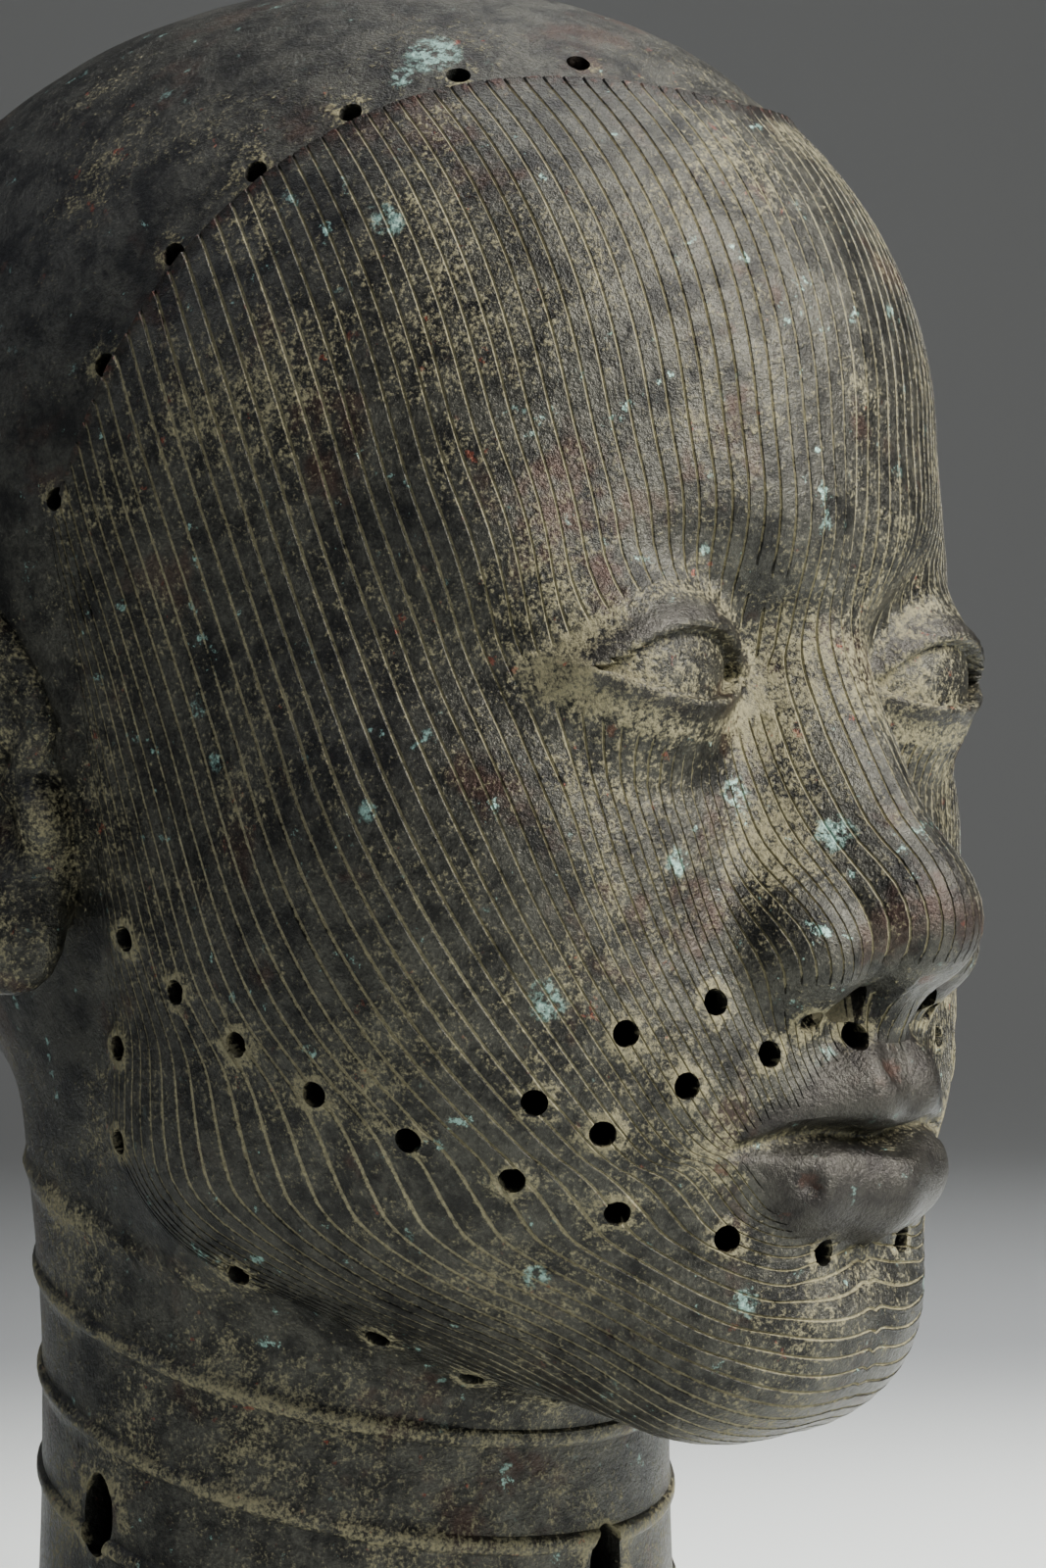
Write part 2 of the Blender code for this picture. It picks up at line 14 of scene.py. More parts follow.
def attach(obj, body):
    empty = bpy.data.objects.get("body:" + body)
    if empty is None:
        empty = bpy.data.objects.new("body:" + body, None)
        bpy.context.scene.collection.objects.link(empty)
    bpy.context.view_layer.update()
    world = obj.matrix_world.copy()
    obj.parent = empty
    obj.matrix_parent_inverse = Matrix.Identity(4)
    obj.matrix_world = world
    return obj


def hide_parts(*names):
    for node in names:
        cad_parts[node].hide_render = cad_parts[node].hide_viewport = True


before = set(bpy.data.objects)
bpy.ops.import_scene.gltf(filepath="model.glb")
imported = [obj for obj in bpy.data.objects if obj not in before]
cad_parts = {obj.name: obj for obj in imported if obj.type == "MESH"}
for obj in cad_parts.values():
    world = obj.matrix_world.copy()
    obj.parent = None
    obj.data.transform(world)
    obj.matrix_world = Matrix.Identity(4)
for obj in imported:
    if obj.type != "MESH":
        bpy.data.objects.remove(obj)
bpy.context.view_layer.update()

# Sizes of the casting in millimetres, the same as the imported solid's
NECK_DROP = 68.0
WALL = 4.5
HAIR_HOLE = 3.6
BEARD_HOLE = 3.9
NAIL_HOLE = 7.5
NAIL_HOLE_TALL = 13.0
NAIL_UP = 48.0
NOSTRIL = 8.5
NOSTRIL_DEEP = 8.0
BASE = -NECK_DROP

# Fine work in millimetres
LINES = 60                # incised lines on each half of the face
LINE_DEEP = 0.3
PIT_DEEP = 1.3            # depth of the two large pits in the lips
WAVER = 0.3               # how far the lines stray to either side
LEDGE = 1.3               # drop from the face to the cap at the hairline
LEDGE_LIP = 0.45          # how far the hair's edge of the face stands up at that ledge
LEDGE_SHARE = 0.1         # share of the way to the pole over which the cap comes back up to the plain form
RING_PROUD = 0.85         # height of the raised rings round the neck
RING_HALF = 1.5           # half their width
RING_TILT = 0.2586        # their climb towards the nape
RING_TOP = 39.0           # level from which the rings are counted down
RING_STEP = 16.0          # height between them
FIRST_RING_END = math.radians(72)    # the first ring's two ends, round from the throat
HOLE_RIM = 0.3            # raised lip round each hole but the nostrils
HOLE_DEEP = 2.5 * WALL    # reach of the tool that pierced them

MM = 0.001
# What the finish has to know about each point of the skin, and its column in every array of marks
# The inside mark carries near-black painted shade: in the hollow, on the holes' walls and along the
# hairline's step
MARKS = ("line", "cap", "bare", "earth", "ring", "red", "inside")
AT = {name: column for column, name in enumerate(MARKS)}
# Places on both halves (x, y, z, radius) that are worn smooth, and that have kept their earth
SHEEN_SPOTS = ((0, -112, 75, 7),)
EARTH_SPOTS = ((17, -90, 84, 9), (19, -88, 70, 6), (27, -88, 41, 6), (0, -99, 26, 7), (14, -84, 104, 8))
# Casting flaws on the right side (x, y, z, radius), of which the first two are deep enough for the mesh
PITS = (
    (-3.6, -102.8, 52.5, 2.4), (-17.4, -97.8, 36.4, 1.7), (-18.8, -94.1, 32.1, 0.7),
    (-27.6, -89.4, 39.2, 0.8), (-2.8, -107.5, 65.1, 1.6), (-44.5, -83.5, 100.8, 0.9),
)
# Crusts of pale turquoise corrosion on the right side (x, y, z, radius)
CRUSTS = (
    (-20.1, -86.5, 91.3, 2.8), (-68, -27.1, 103.9, 1.5), (-67.5, -29.9, 96.1, 1.7),
    (-65.5, -57.1, 89, 1.6), (-50.3, -76.9, 63.3, 2.8), (-56.8, -53, 172, 2.6),
    (-33.5, -86.2, 82.1, 2), (-11.3, -97.3, 86, 3), (-41, -66.7, 23.8, 2),
    (-63.5, -44.2, 55.4, 1.2), (-27.8, -86.7, 126.1, 1.2), (-22.8, -90.2, 19.8, 2.2),
    (-37.6, -44.6, 199.4, 4.5), (-42.9, -43.5, 195.5, 2),
)

# Colours of the finish
DARK_SKIN = "#1e1f1e"
GREY_SKIN = "#4b4b45"
BROWN_SKIN = "#4a2f25"
BARE_SKIN = "#2b2726"
PAINTED_SHADE_BLACK = "#0f0d0b"
GRAIN_SHADE = "#0c0b0a"
EARTH = "#7c775b"
LINE_EARTH = "#8f8a6e"
CUPRITE = "#8a4431"
PIT_RUST = "#4a3024"
TURQUOISE = "#9cc4bb"
PALE_PAPER = "#d6dbd9"
# Grey that the paper is painted towards behind the head: painted shade of the light's falloff
PAPER_PAINTED_SHADE = "#75787a"
STUDIO_GREY = "#8a8c90"

# The camera stands level, turned towards the head's right side. Its distances are in metres from the
# neck's axis, and its height is in the form's millimetres.
VIEW_TURN = math.radians(48)
VIEW = np.array([math.sin(VIEW_TURN), math.cos(VIEW_TURN), 0.0])
VIEW_RIGHT = np.array([math.cos(VIEW_TURN), -math.sin(VIEW_TURN), 0.0])
CAMERA_FAR = 0.6
CAMERA_ASIDE = 0.027
CAMERA_UP = 93.0
LENS = 85.0
HEAD_MIDDLE = (0.0, 0.0, 0.16)
# Soft boxes, in metres from the head's middle: to the right, towards the backdrop, up; then watts, width
# and colour. They face the head, but the last one faces straight down and lights the paper behind.
LIGHTS = (
    ("key", (0.8, -0.45, 0.62), 38, 0.45, "#fffaf2"),
    ("fill", (-0.1, -1.2, 0.3), 1.5, 0.9, "#eef2ff"),
    ("left", (-0.8, -0.1, 0.8), 3.5, 0.7, "#eef2ff"),
    ("floor", (0.25, 0.3, 0.9), 3.2, 0.5, "#ffffff"),
)
DOWN_SPREAD = math.radians(70)
ROOM_LIGHT = 0.1
# The paper's sweep in metres: its front edge, where its bend starts, the bend's radius, top, half the width
SWEEP_FRONT, SWEEP_BACK, SWEEP_BEND, SWEEP_TOP, SWEEP_HALF = -2.0, 1.0, 0.8, 3.0, 2.6

# Landmarks of the form
MIDDLE_Y = -5.169        # the form's middle from front to back
PROUD = 3.0              # how far a cutting tool stands out of the surface it cuts
FAR = 150.0              # distance from the middle at which rays from outside start
CENTRE = np.array([0.0, 0.0, 93.0])    # middle of the head, from which its rays run
NECK_Y = 4.0
NECK_WIDE = 50.0
NECK_DEEP = 51.0
EYE = np.array([32.0, -71.5, 109.0])
EYE_BALL = 17.5
EYE_HALF = 17.0
LID = 1.6
MOUTH_HALF = 25.0
EAR_Y = 16.0
EAR_Z = 94.0

# The mesh's ribs run from the middle of the face out to its border. Each row below is one rib:
# where it starts and ends, how far it is lifted on its way, and how its steps spread.
RIBS = (
    ((0, -99, 42), (0, -46, 9), 0.0, 1.25),       # 0 throat
    ((0, -99, 42), (41, -31, 18), 0.0, 1.2),      # 1 jaw
    ((0, -99, 42), (59, 4, 39), 0.13, 1.08),      # 2 jaw's corner under the ear
    ((0, -99, 42), (62, 2, 51), 0.18, 1.0),       # 3 mouth
    ((0, -100, 64), (65, 1, 63), 0.12, 1.0),      # 4 foot of the nose
    ((0, -89, 108), (70, -2, 84), 0.06, 1.0),     # 5 eyes
    ((0, -91, 148), (73, -3, 104), 0.08, 1.0),    # 6 forehead
    ((0, -74, 195), (74, -2, 126), 0.17, 1.0),    # 7 hairline
)
CORNER_RIB = 2
MOUTH_RIB = 3
HAIR_RIB = 7

# Mesh steps from rib number to rib number, closer at the mouth and the eyes
FACE_ROWS = (
    (0, 1, 18), (1, 2, 16), (2, 2.8, 12), (2.8, 3.2, 14), (3.2, 4, 14), (4, 4.8, 16), (4.8, 5.4, 42),
    (5.4, 6.9, 30), (6.9, 7, 3),
)
# The mesh has three columns for each incised line. These are their places in the line's share of the face,
# how far each is raised or cut in parts of LINE_DEEP, and how much of the line's earth each holds.
LINE_COLUMNS = (0.4, 0.5, 0.6)
LINE_SHAPE = (0.05, -1.0, 0.25)
LINE_FILL = (0.3, 1, 0.3)
LINE_ROOM = 0.0006        # share of the way out that each column keeps clear of the next at the border
# For each rib: how far out the halfway line runs, and which share of all lines lies inside the border
HALFWAY_OUT = (0.17, 0.18, 0.20, 0.24, 0.33, 0.45, 0.49, 0.50)
LINES_INSIDE = (1.0, 1.0, 1.0, 1.0, 0.97, 0.93, 0.90, 0.87)
PEAK_WIDE = 0.45          # share of the hairline over which its peak in the middle is rounded off
PEAK_SHIFT = np.array([0.0, 0.23, 0.57])    # the way up and back that the peak gives up
# Rib numbers past the eye, with their heights over the lower lid's edge and over the upper one's
LOWER_LID_RIBS = ((4.82, -8), (4.93, -2.2), (4.97, -0.7), (5.01, 0.6))
UPPER_LID_RIBS = ((5.20, -0.8), (5.25, 0.6), (5.30, 2.4), (5.42, 9))
LIDS_APART = 1.6          # least height between the ribs of the two lids
NAPE_COLUMNS = 48
# Rings of the cap and the back of the head: their share of the way from the border to the pole, and how
# many points of the border each of their points stands for
CAP_RINGS = (
    (0.004, 1), (0.012, 1), (0.03, 1), (0.055, 1), (0.08, 1), (0.11, 2), (0.15, 2), (0.2, 2), (0.25, 2),
    (0.3, 3), (0.36, 3), (0.42, 3), (0.48, 3), (0.54, 4), (0.6, 4), (0.66, 4), (0.72, 5), (0.78, 6),
    (0.84, 8), (0.9, 12), (0.96, 24),
)
POLE = np.array([0.0, 0.8, 0.6])
NECK_ROWS = 18            # mesh rows down to the first whole ring, and again below the last
EAR_COLUMNS = 64
CAVITY_COLUMNS = 84
BAR_SIDES = 24
HAIR_HOLES = 7
BEARD_HOLES = 9
NECK_LEAN = 0.13          # the nail holes' climb towards the nape
MARK_REACH = 1.6          # millimetres within which a point takes its marks from the skin as it was built
EAR_EARTH = 0.2           # how much earth lies on the ears
SHARP_ANGLE = math.radians(32)


def vec(*v):
    return np.array(v, float)


def to_frame(points):
    """Points of the form, in metres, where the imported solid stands."""
    return (np.asarray(points) + vec(0, -MIDDLE_Y, NECK_DROP)) * MM


def unit(v):
    return v / np.linalg.norm(v, axis=-1, keepdims=True)


def rise(x, low, high):
    """Smooth climb from 0 at low to 1 at high."""
    t = np.clip((x - low) / (high - low), 0, 1)
    return t * t * (3 - 2 * t)


def glide(keys, values, at):
    """Smooth curve through the values at the keys, which never swings past them."""
    keys, values, at = np.asarray(keys, float), np.asarray(values, float), np.asarray(at, float)
    values = values.reshape(len(keys), -1)
    climb = np.diff(values, axis=0) / np.diff(keys)[:, None]
    tangent = np.zeros_like(values)
    before, after = climb[:-1], climb[1:]
    total = before + after
    same_way = before * after > 0
    tangent[1:-1] = np.where(same_way, 2 * before * after / np.where(same_way, total, 1), 0)
    tangent[0], tangent[-1] = climb[0], climb[-1]
    i = np.clip(np.searchsorted(keys, at, "right") - 1, 0, len(keys) - 2)
    width = (keys[i + 1] - keys[i])[:, None]
    u = (at - keys[i])[:, None] / width
    curve = values[i] * (1 + 2 * u) * (1 - u) ** 2 + values[i + 1] * u * u * (3 - 2 * u)
    curve += width * (tangent[i] * u * (1 - u) ** 2 + tangent[i + 1] * u * u * (u - 1))
    return curve[:, 0] if curve.shape[1] == 1 else curve


def turn(a, b, f):
    """Directions a share f of the way from a to b."""
    a, b = np.broadcast_arrays(unit(a), unit(b))
    angle = np.arccos(np.clip((a * b).sum(-1), -1, 1))[..., None]
    f = f[..., None]
    between = (np.sin((1 - f) * angle) * a + np.sin(f * angle) * b) / np.maximum(np.sin(angle), 1e-9)
    return np.where(angle > 1e-6, between, a)


# Distances: each form below gives how far points are outside it, in shares

def ellipsoid(p, centre, radii):
    q = p - vec(*centre)
    r = vec(*radii)
    near = np.linalg.norm(q / r, axis=1)
    far = np.linalg.norm(q / (r * r), axis=1)
    return near * (near - 1.0) / np.maximum(far, 1e-9)


def limb(p, a, b, radius_a, radius_b):
    """Round bar from a to b whose radius changes on the way."""
    a, b = vec(*a), vec(*b)
    along = b - a
    t = np.clip(((p - a) @ along) / (along @ along), 0, 1)
    return np.linalg.norm(p - a - t[:, None] * along, axis=1) - (radius_a + (radius_b - radius_a) * t)


def blend(a, b, soft):
    """Both forms, joined by a fillet."""
    h = np.clip(0.5 + 0.5 * (b - a) / soft, 0, 1)
    return b + (a - b) * h - soft * h * (1 - h)


def carve(a, b, soft):
    """The first form with the second taken away."""
    return -blend(-a, b, soft)


def skull(q):
    d = ellipsoid(q, (0, 8, 139), (75, 93, 81))
    d = blend(d, ellipsoid(q, (0, -25, 148), (63, 67.5, 60)), 22)
    return blend(d, ellipsoid(q, (0, 36, 98), (58, 60, 60)), 26)


def cheeks_and_jaw(q):
    d = ellipsoid(q, (0, -20, 86), (64, 67, 66))
    d = blend(d, ellipsoid(q, (36, -51, 90), (28, 29, 25)), 22)
    d = blend(d, ellipsoid(q, (28, -42, 56), (32, 42, 39)), 22)
    d = blend(d, ellipsoid(q, (0, -64, 46), (38, 34, 30)), 18)
    d = blend(d, ellipsoid(q, (0, -76, 14), (23, 20, 15)), 18)
    d = blend(d, limb(q, (10, -70, 18), (38, -14, 36), 16, 19), 20)
    return blend(d, ellipsoid(q, (0, -36, 32), (40, 44, 25)), 14)


def neck(q):
    z = q[:, 2]
    flare = 2.5 * rise(-z, 10, 90) + 4.0 * rise(z, 0, 60)
    r = np.hypot(q[:, 0] / NECK_WIDE, (q[:, 1] - NECK_Y) / NECK_DEEP) * NECK_WIDE
    return np.maximum(r - NECK_WIDE - flare, z - 90)


def nose(q):
    d = limb(q, (0, -80, 114), (0, -98, 80), 9.0, 9.5)
    d = blend(d, ellipsoid(q, (0, -101, 73.5), (12.5, 12, 10.5)), 7)
    d = blend(d, ellipsoid(q, (14.5, -93.5, 69.5), (8.8, 10.5, 8.8)), 4.5)
    d = blend(d, limb(q, (3, -82, 104), (11, -89, 78), 7.0, 7.5), 9)
    return blend(d, limb(q, (0, -104, 65), (0, -96, 60.5), 4.5, 5.5), 3)


def lid_lines(x):
    """Heights of the upper and lower lid's edge, and how far along the eye x is."""
    along = np.clip((x - EYE[0]) / EYE_HALF, -1.15, 1.15)
    level = EYE[2] - 0.8 + 0.5 * along
    return along, level + 8.0 * (1 - np.abs(along) ** 2.2), level - 4.4 * (1 - along ** 2)


def add_eye(q, d):
    """Ball between two raised lids, each with a rolled rim."""
    ball = np.linalg.norm(q - EYE, axis=1) - EYE_BALL
    along, upper, lower = lid_lines(q[:, 0])
    opening = np.maximum(q[:, 2] - upper, lower - q[:, 2])
    lids = np.maximum(np.maximum(ball - LID, -opening), q[:, 1] + 66)
    d = blend(blend(d, lids, 5.0), ball, 0.8)
    past = np.clip(np.abs(along) - 1, 0, 1) * EYE_HALF
    for edge, steep, radius in ((upper, 17.6 * np.abs(along) ** 1.2, 1.6), (lower, 8.8 * np.abs(along), 1.1)):
        lean = 1 + (steep / EYE_HALF) ** 2
        rim = np.sqrt((q[:, 2] - edge) ** 2 / lean + (ball - LID + 0.3) ** 2 + past ** 2) - radius
        d = blend(d, rim, 1.4)
    return d


def mouth_line(x):
    """Height of the closed line between the lips."""
    x = np.abs(x)
    return 42.6 - 1.2 * np.exp(-(x / 5) ** 2) + 0.8 * np.exp(-((x - 11) / 7) ** 2) - 0.9 * rise(x, 17, 27)


def add_lips(q, d):
    d = blend(d, limb(q, (4.5, -96.0, 49.0), (24, -86, 44.5), 7.8, 3.4), 2.6)
    d = blend(d, limb(q, (0, -95.5, 35.5), (12, -92, 36.5), 8.4, 7.4), 3)
    d = blend(d, limb(q, (12, -92, 36.5), (24, -85, 41.0), 7.4, 3.0), 3)
    x = np.abs(q[:, 0])
    past = np.clip(x - MOUTH_HALF, 0, 20)
    width = 1.9 - 1.0 * rise(x, 15, 26)
    parting = np.sqrt((q[:, 2] - mouth_line(x)) ** 2 + (d * 0.7) ** 2 + past ** 2) - width
    d = carve(d, parting, 1.8)
    return carve(d, limb(q, (0, -107.5, 60), (0, -109.5, 54), 4.6, 4.8), 4)


def half(p):
    """Points moved to the +X half, with a soft turn in the middle plane."""
    q = p.copy()
    q[:, 0] = np.sqrt(q[:, 0] ** 2 + 1.7)
    return q


def plain_head(p):
    """Head without the lips and the eyes' fine work."""
    q = half(p)
    d = blend(skull(q), cheeks_and_jaw(q), 18)
    d = blend(d, limb(q, (12, -82, 127), (46, -66, 125), 6.5, 7.0), 18)
    d = carve(d, ellipsoid(q, (32, -99, 111), (20, 16, 13)), 15)
    d = blend(d, nose(q), 6.5)
    d = carve(d, ellipsoid(q, (0, -106, 26), (24, 9, 5)), 8)
    return blend(d, neck(q), 10)


def head(p):
    q = half(p)
    return add_lips(q, add_eye(q, plain_head(p)))


def hollow(p):
    """The core that filled the casting: the plain form less its wall, and smoother."""
    q = half(p)
    d = blend(skull(q), cheeks_and_jaw(q), 22)
    return blend(d, neck(q), 16) + WALL


def slope(form, p, reach=0.1):
    """Directions in which the distance to the form grows."""
    g = np.empty_like(p)
    for axis in range(3):
        shift = np.zeros(3)
        shift[axis] = reach
        g[:, axis] = form(p + shift) - form(p - shift)
    return unit(g)


def reach_surface(form, start, ray, travel, steps=30):
    """Points where rays that come in from outside, travel away from start, first meet the form."""
    for _ in range(steps):
        travel = travel - np.clip(form(start + ray * travel[:, None]), -3, 30) * 0.85
    return start + ray * travel[:, None]


def leave_form(form, start, ray, steps=60):
    """Points where rays that start inside the form first come out of it."""
    travel = np.zeros(len(ray))
    for _ in range(steps):
        travel = travel - np.clip(form(start + ray * travel[:, None]), -12, 3) * 0.8
    return start + ray * travel[:, None]


# The mesh: rows of points on the form, which follow the flow of the face

def from_centre(rays, form):
    flat = rays.reshape(-1, 3)
    return reach_surface(form, CENTRE, flat, np.full(len(flat), FAR))


def face_rays(rib, side):
    """Directions from the centre for each rib number and each share of the way out, -1 to 1."""
    ease = glide(range(len(RIBS)), [row[3] for row in RIBS], rib)
    return rays_at(rib, np.sign(side) * np.abs(side)[None, :] ** ease[:, None])


def line_shares(rib, line):
    """How far out each line runs at each rib. Both are 0 to 1 from the middle of the face, and negative on
    its right side."""
    halfway = glide(range(len(RIBS)), HALFWAY_OUT, rib)
    inside = glide(range(len(RIBS)), LINES_INSIDE, rib)
    out = [glide((0, 0.5 * n, n, 1.001), (0, h, 1, 1), np.abs(line))
           for h, n in zip(halfway, np.minimum(inside, 1.0))]
    from_middle = np.abs(np.arange(len(line)) - len(line) // 2)
    from_end = np.abs(from_middle - len(line) // 2)
    return np.sign(line) * np.minimum(out, 1 - LINE_ROOM * from_end)


def rays_at(rib, side):
    """Directions from the centre for a grid of shares, with one row for each rib number."""
    start, end, lift = (glide(range(len(RIBS)), column, rib) for column in list(zip(*RIBS))[:3])
    out = np.abs(side)
    rays = turn((start - CENTRE)[:, None, :], (end - CENTRE)[:, None, :], out)
    lift = lift[:, None] * np.sin(np.pi * out) * (1 - 0.25 * np.cos(np.pi * out))
    rays = unit(rays + lift[..., None] * vec(0.15, 0, 1.0))
    rays[..., 0] *= np.where(side < 0, -1, 1)
    return rays


def nape_rays(side):
    """Directions along the nape from the right ear (-1) to the left ear (1)."""
    angle = np.radians(180 - 90 * np.abs(side))
    across = 59 * np.sin(angle) * np.sign(side)
    back = NECK_Y - 55 * np.cos(angle)
    level = 39 + 17 * np.sin(angle - np.pi / 2)
    return unit(np.stack([across, back, level], -1) - CENTRE)


def eye_level(rib, x):
    """Height at which a rib runs past the eye, so that ribs lie along both lids."""
    upper, lower = lid_lines(np.abs(x))[1:]
    upper, lower = np.maximum(upper, lower + LIDS_APART), np.minimum(lower, upper - LIDS_APART)
    at = np.array([number for number, up in LOWER_LID_RIBS + UPPER_LID_RIBS])
    levels = [lower + up for number, up in LOWER_LID_RIBS] + [upper + up for number, up in UPPER_LID_RIBS]
    levels = np.stack(levels, -1)
    i = np.clip(np.searchsorted(at, rib) - 1, 0, len(at) - 2)
    f = (rib - at[i]) / (at[i + 1] - at[i])
    n = np.arange(len(x))
    return levels[n, i] * (1 - f) + levels[n, i + 1] * f


def on_face(rib, shares):
    """Points of the face: the plain head first, then out or in along its own slope to the lips and lids.
    Rays to the lips start further out, as the lips stand out further than the lids."""
    out = np.abs(shares)
    peak = out * np.clip(1 - out / PEAK_WIDE, 0, 1) ** 3 * rise(rib, HAIR_RIB - 1, HAIR_RIB)[:, None]
    p = from_centre(unit(rays_at(rib, shares) - peak[..., None] * PEAK_SHIFT), plain_head)
    rib_of = np.repeat(rib, shares.shape[1])
    x = np.abs(p[:, 0])
    parting = from_centre(face_rays(np.array([MOUTH_RIB]), np.linspace(0, 1, 40)), plain_head)[:24]
    to_line = mouth_line(x) - np.interp(x, parting[:, 0], parting[:, 2])
    by_mouth = np.exp(-((rib_of - MOUTH_RIB) / 0.7) ** 2 * rise(x, 0, 8)) * (1 - rise(x, MOUTH_HALF, 40))
    p[:, 2] += to_line * by_mouth
    by_eye = rise(rib_of, 4.5, 4.85) * (1 - rise(rib_of, 5.4, 5.8))
    by_eye = by_eye * (1 - rise(np.abs(x - EYE[0]), EYE_HALF, 1.7 * EYE_HALF))
    p[:, 2] += by_eye * (eye_level(rib_of, x) - p[:, 2])
    p = reach_surface(plain_head, p, slope(plain_head, p), np.zeros(len(p)), 4)
    outward = slope(plain_head, p, 3.0)
    worked = (p[:, 1] < -50) & (p[:, 2] > 22) & (p[:, 2] < 140)
    p[worked] = reach_surface(head, p[worked], outward[worked], np.where(p[worked, 2] > 58, 5.0, 11.0))
    return p


def ring_level(y, number):
    """Height of one of the neck's raised rings at a depth y."""
    return RING_TOP - RING_STEP * number + RING_TILT * (y - NECK_Y)


def neck_points(loop):
    """Rows from the loop under the jaw and nape down to the cut end, with close rows at each raised ring."""
    angle = np.arctan2(loop[:, 0], NECK_Y - loop[:, 1])
    ray = np.stack([np.sin(angle), -np.cos(angle), 0 * angle], -1)
    y = NECK_Y - NECK_DEEP * np.cos(angle)
    levels = [loop[:, 2]]
    for number, rows in ((2, NECK_ROWS), (3, NECK_ROWS // 2), (4, NECK_ROWS // 2)):
        edge = ring_level(y, number) + RING_HALF
        levels += list(levels[-1] + (edge - levels[-1]) * (np.arange(1, rows + 1) / rows)[:, None])
        levels += [edge - RING_HALF * k / 3 for k in range(1, 7)]
    levels += list(levels[-1] + (BASE - levels[-1]) * (np.arange(1, NECK_ROWS + 1) / NECK_ROWS)[:, None])
    rows = [leave_form(plain_head, np.stack([0 * z, NECK_Y + 0 * z, z], -1), ray) for z in levels[1:]]
    rows[-1][:, 2] = BASE
    return np.stack(rows)


def stepped(spans):
    """Numbers from the first span's start to the last one's end, each span in its own count of steps."""
    parts = [np.linspace(low, high, count, endpoint=False) for low, high, count in spans]
    return np.concatenate(parts + [[spans[-1][1]]])


def strip(number):
    """Quads between neighbouring rows and columns of a numbered grid."""
    corners = [number[:-1, :-1], number[:-1, 1:], number[1:, 1:], number[1:, :-1]]
    return np.stack(corners, -1).reshape(-1, 4).tolist()


def fan(outer, inner):
    """Faces between a closed ring of numbers and one with fewer; each inner step faces several outer ones."""
    n, m = len(outer), len(inner)
    at = [round(j * n / m) for j in range(m + 1)]
    faces = []
    for j in range(m):
        edge = [outer[i % n] for i in range(at[j], at[j + 1] + 1)]
        faces.append(edge + [inner[(j + 1) % m], inner[j]])
    return faces


def ball_faces(rows, around):
    """Faces of a closed round grid with a single point at each pole."""
    faces = [[0, 1 + (i + 1) % around, 1 + i] for i in range(around)]
    for row in range(rows - 1):
        first = 1 + row * around
        for i in range(around):
            j = (i + 1) % around
            faces.append([first + i, first + j, first + around + j, first + around + i])
    last = 1 + (rows - 1) * around
    faces += [[last + i, last + (i + 1) % around, last + around] for i in range(around)]
    return faces


def ball_rays(polar, around):
    """Directions down a ball from +Z to -Z at the polar angles, with one at each pole."""
    turns = 2 * np.pi * np.arange(around) / around
    rings = [np.stack([np.sin(a) * np.sin(turns), -np.sin(a) * np.cos(turns), np.cos(a) + 0 * turns], -1)
             for a in polar]
    return np.concatenate([[vec(0, 0, 1)]] + rings + [[vec(0, 0, -1)]])


def ear_form(p):
    """Left ear in its own frame: x to the back of the head, y up, z outward."""
    d = ellipsoid(p, (1.5, -1, 0), (15.5, 27, 4.6))
    d = blend(d, ellipsoid(p, (-2, -24, 0.3), (8.6, 9, 4.4)), 5)
    d = blend(d, ellipsoid(p, (-4, -2, -7), (13, 23, 8)), 5)
    d = carve(d, ellipsoid(p, (-1.5, -4, 7.5), (8.8, 11, 9.5)), 2.0)
    d = carve(d, ellipsoid(p, (4, 13, 7.5), (8.5, 9.5, 6.5)), 3.0)
    angle = np.radians(np.linspace(168, -42, 15))
    rim = np.stack([1.5 + 14.6 * np.cos(angle), 1 + 25.5 * np.sin(angle), 2.6 + 0.8 * np.sin(angle)], 1)
    rim = np.concatenate([[(-6.5, -2.5, 1.0), (-10.5, 2.5, 2.0)], rim])
    for a, b in zip(rim[:-1], rim[1:]):
        d = blend(d, limb(p, a, b, 2.7, 2.7), 1.2)
    fold = ((3, 19.5, 2.4), (7.2, 10, 3.4), (8.6, 0, 3.8), (6.4, -10, 3.6), (1.5, -15.5, 3.2))
    for a, b in zip(fold[:-1], fold[1:]):
        d = blend(d, limb(p, a, b, 2.3, 2.3), 2.0)
    return blend(d, ellipsoid(p, (-10.5, -7.5, 2.2), (3.6, 5.4, 4.2)), 2.5)


def ear_points(side):
    """Points and faces of one ear in the head's frame; side is 1 for the left and -1 for the right."""
    root = vec(-2, -2, -7)
    polar = np.radians(stepped(((3, 60, 22), (60, 104, 26), (104, 165, 8))))
    rays = ball_rays(polar, EAR_COLUMNS)
    p = reach_surface(ear_form, root, rays, np.full(len(rays), 60.0))
    start = vec(0, EAR_Y, EAR_Z)[None]
    seat = leave_form(plain_head, start, vec(1, 0, 0)[None])[0]
    lean, flare = np.radians(8), np.radians(20)
    back, up, out = p[:, 0], p[:, 1], p[:, 2]
    back, up = back * np.cos(lean) + up * np.sin(lean), up * np.cos(lean) - back * np.sin(lean)
    back, out = back * np.cos(flare) - out * np.sin(flare), out * np.cos(flare) + back * np.sin(flare)
    points = np.stack([side * (seat[0] + 4 + out), EAR_Y + back, EAR_Z + up], -1)
    return points, ball_faces(len(polar), EAR_COLUMNS)


def cavity():
    """The inside of the casting, which runs out past the cut end."""
    polar = np.radians(stepped(((6, 96, 20), (96, 138, 18))))
    rays = ball_rays(polar, CAVITY_COLUMNS)
    head_part = reach_surface(hollow, CENTRE, rays[:-1], np.full(len(rays) - 1, FAR))
    flat = unit(rays[-1 - CAVITY_COLUMNS:-1] * vec(1, 1, 0))
    levels = (2, -10, -20, -32, -45, -57, BASE - PROUD)
    rings = [leave_form(hollow, np.tile(vec(0, NECK_Y, level), (len(flat), 1)), flat) for level in levels]
    points = np.concatenate([head_part] + rings + [[vec(0, NECK_Y, levels[-1])]])
    return points, ball_faces(len(polar) + len(levels), CAVITY_COLUMNS)


# The holes' places

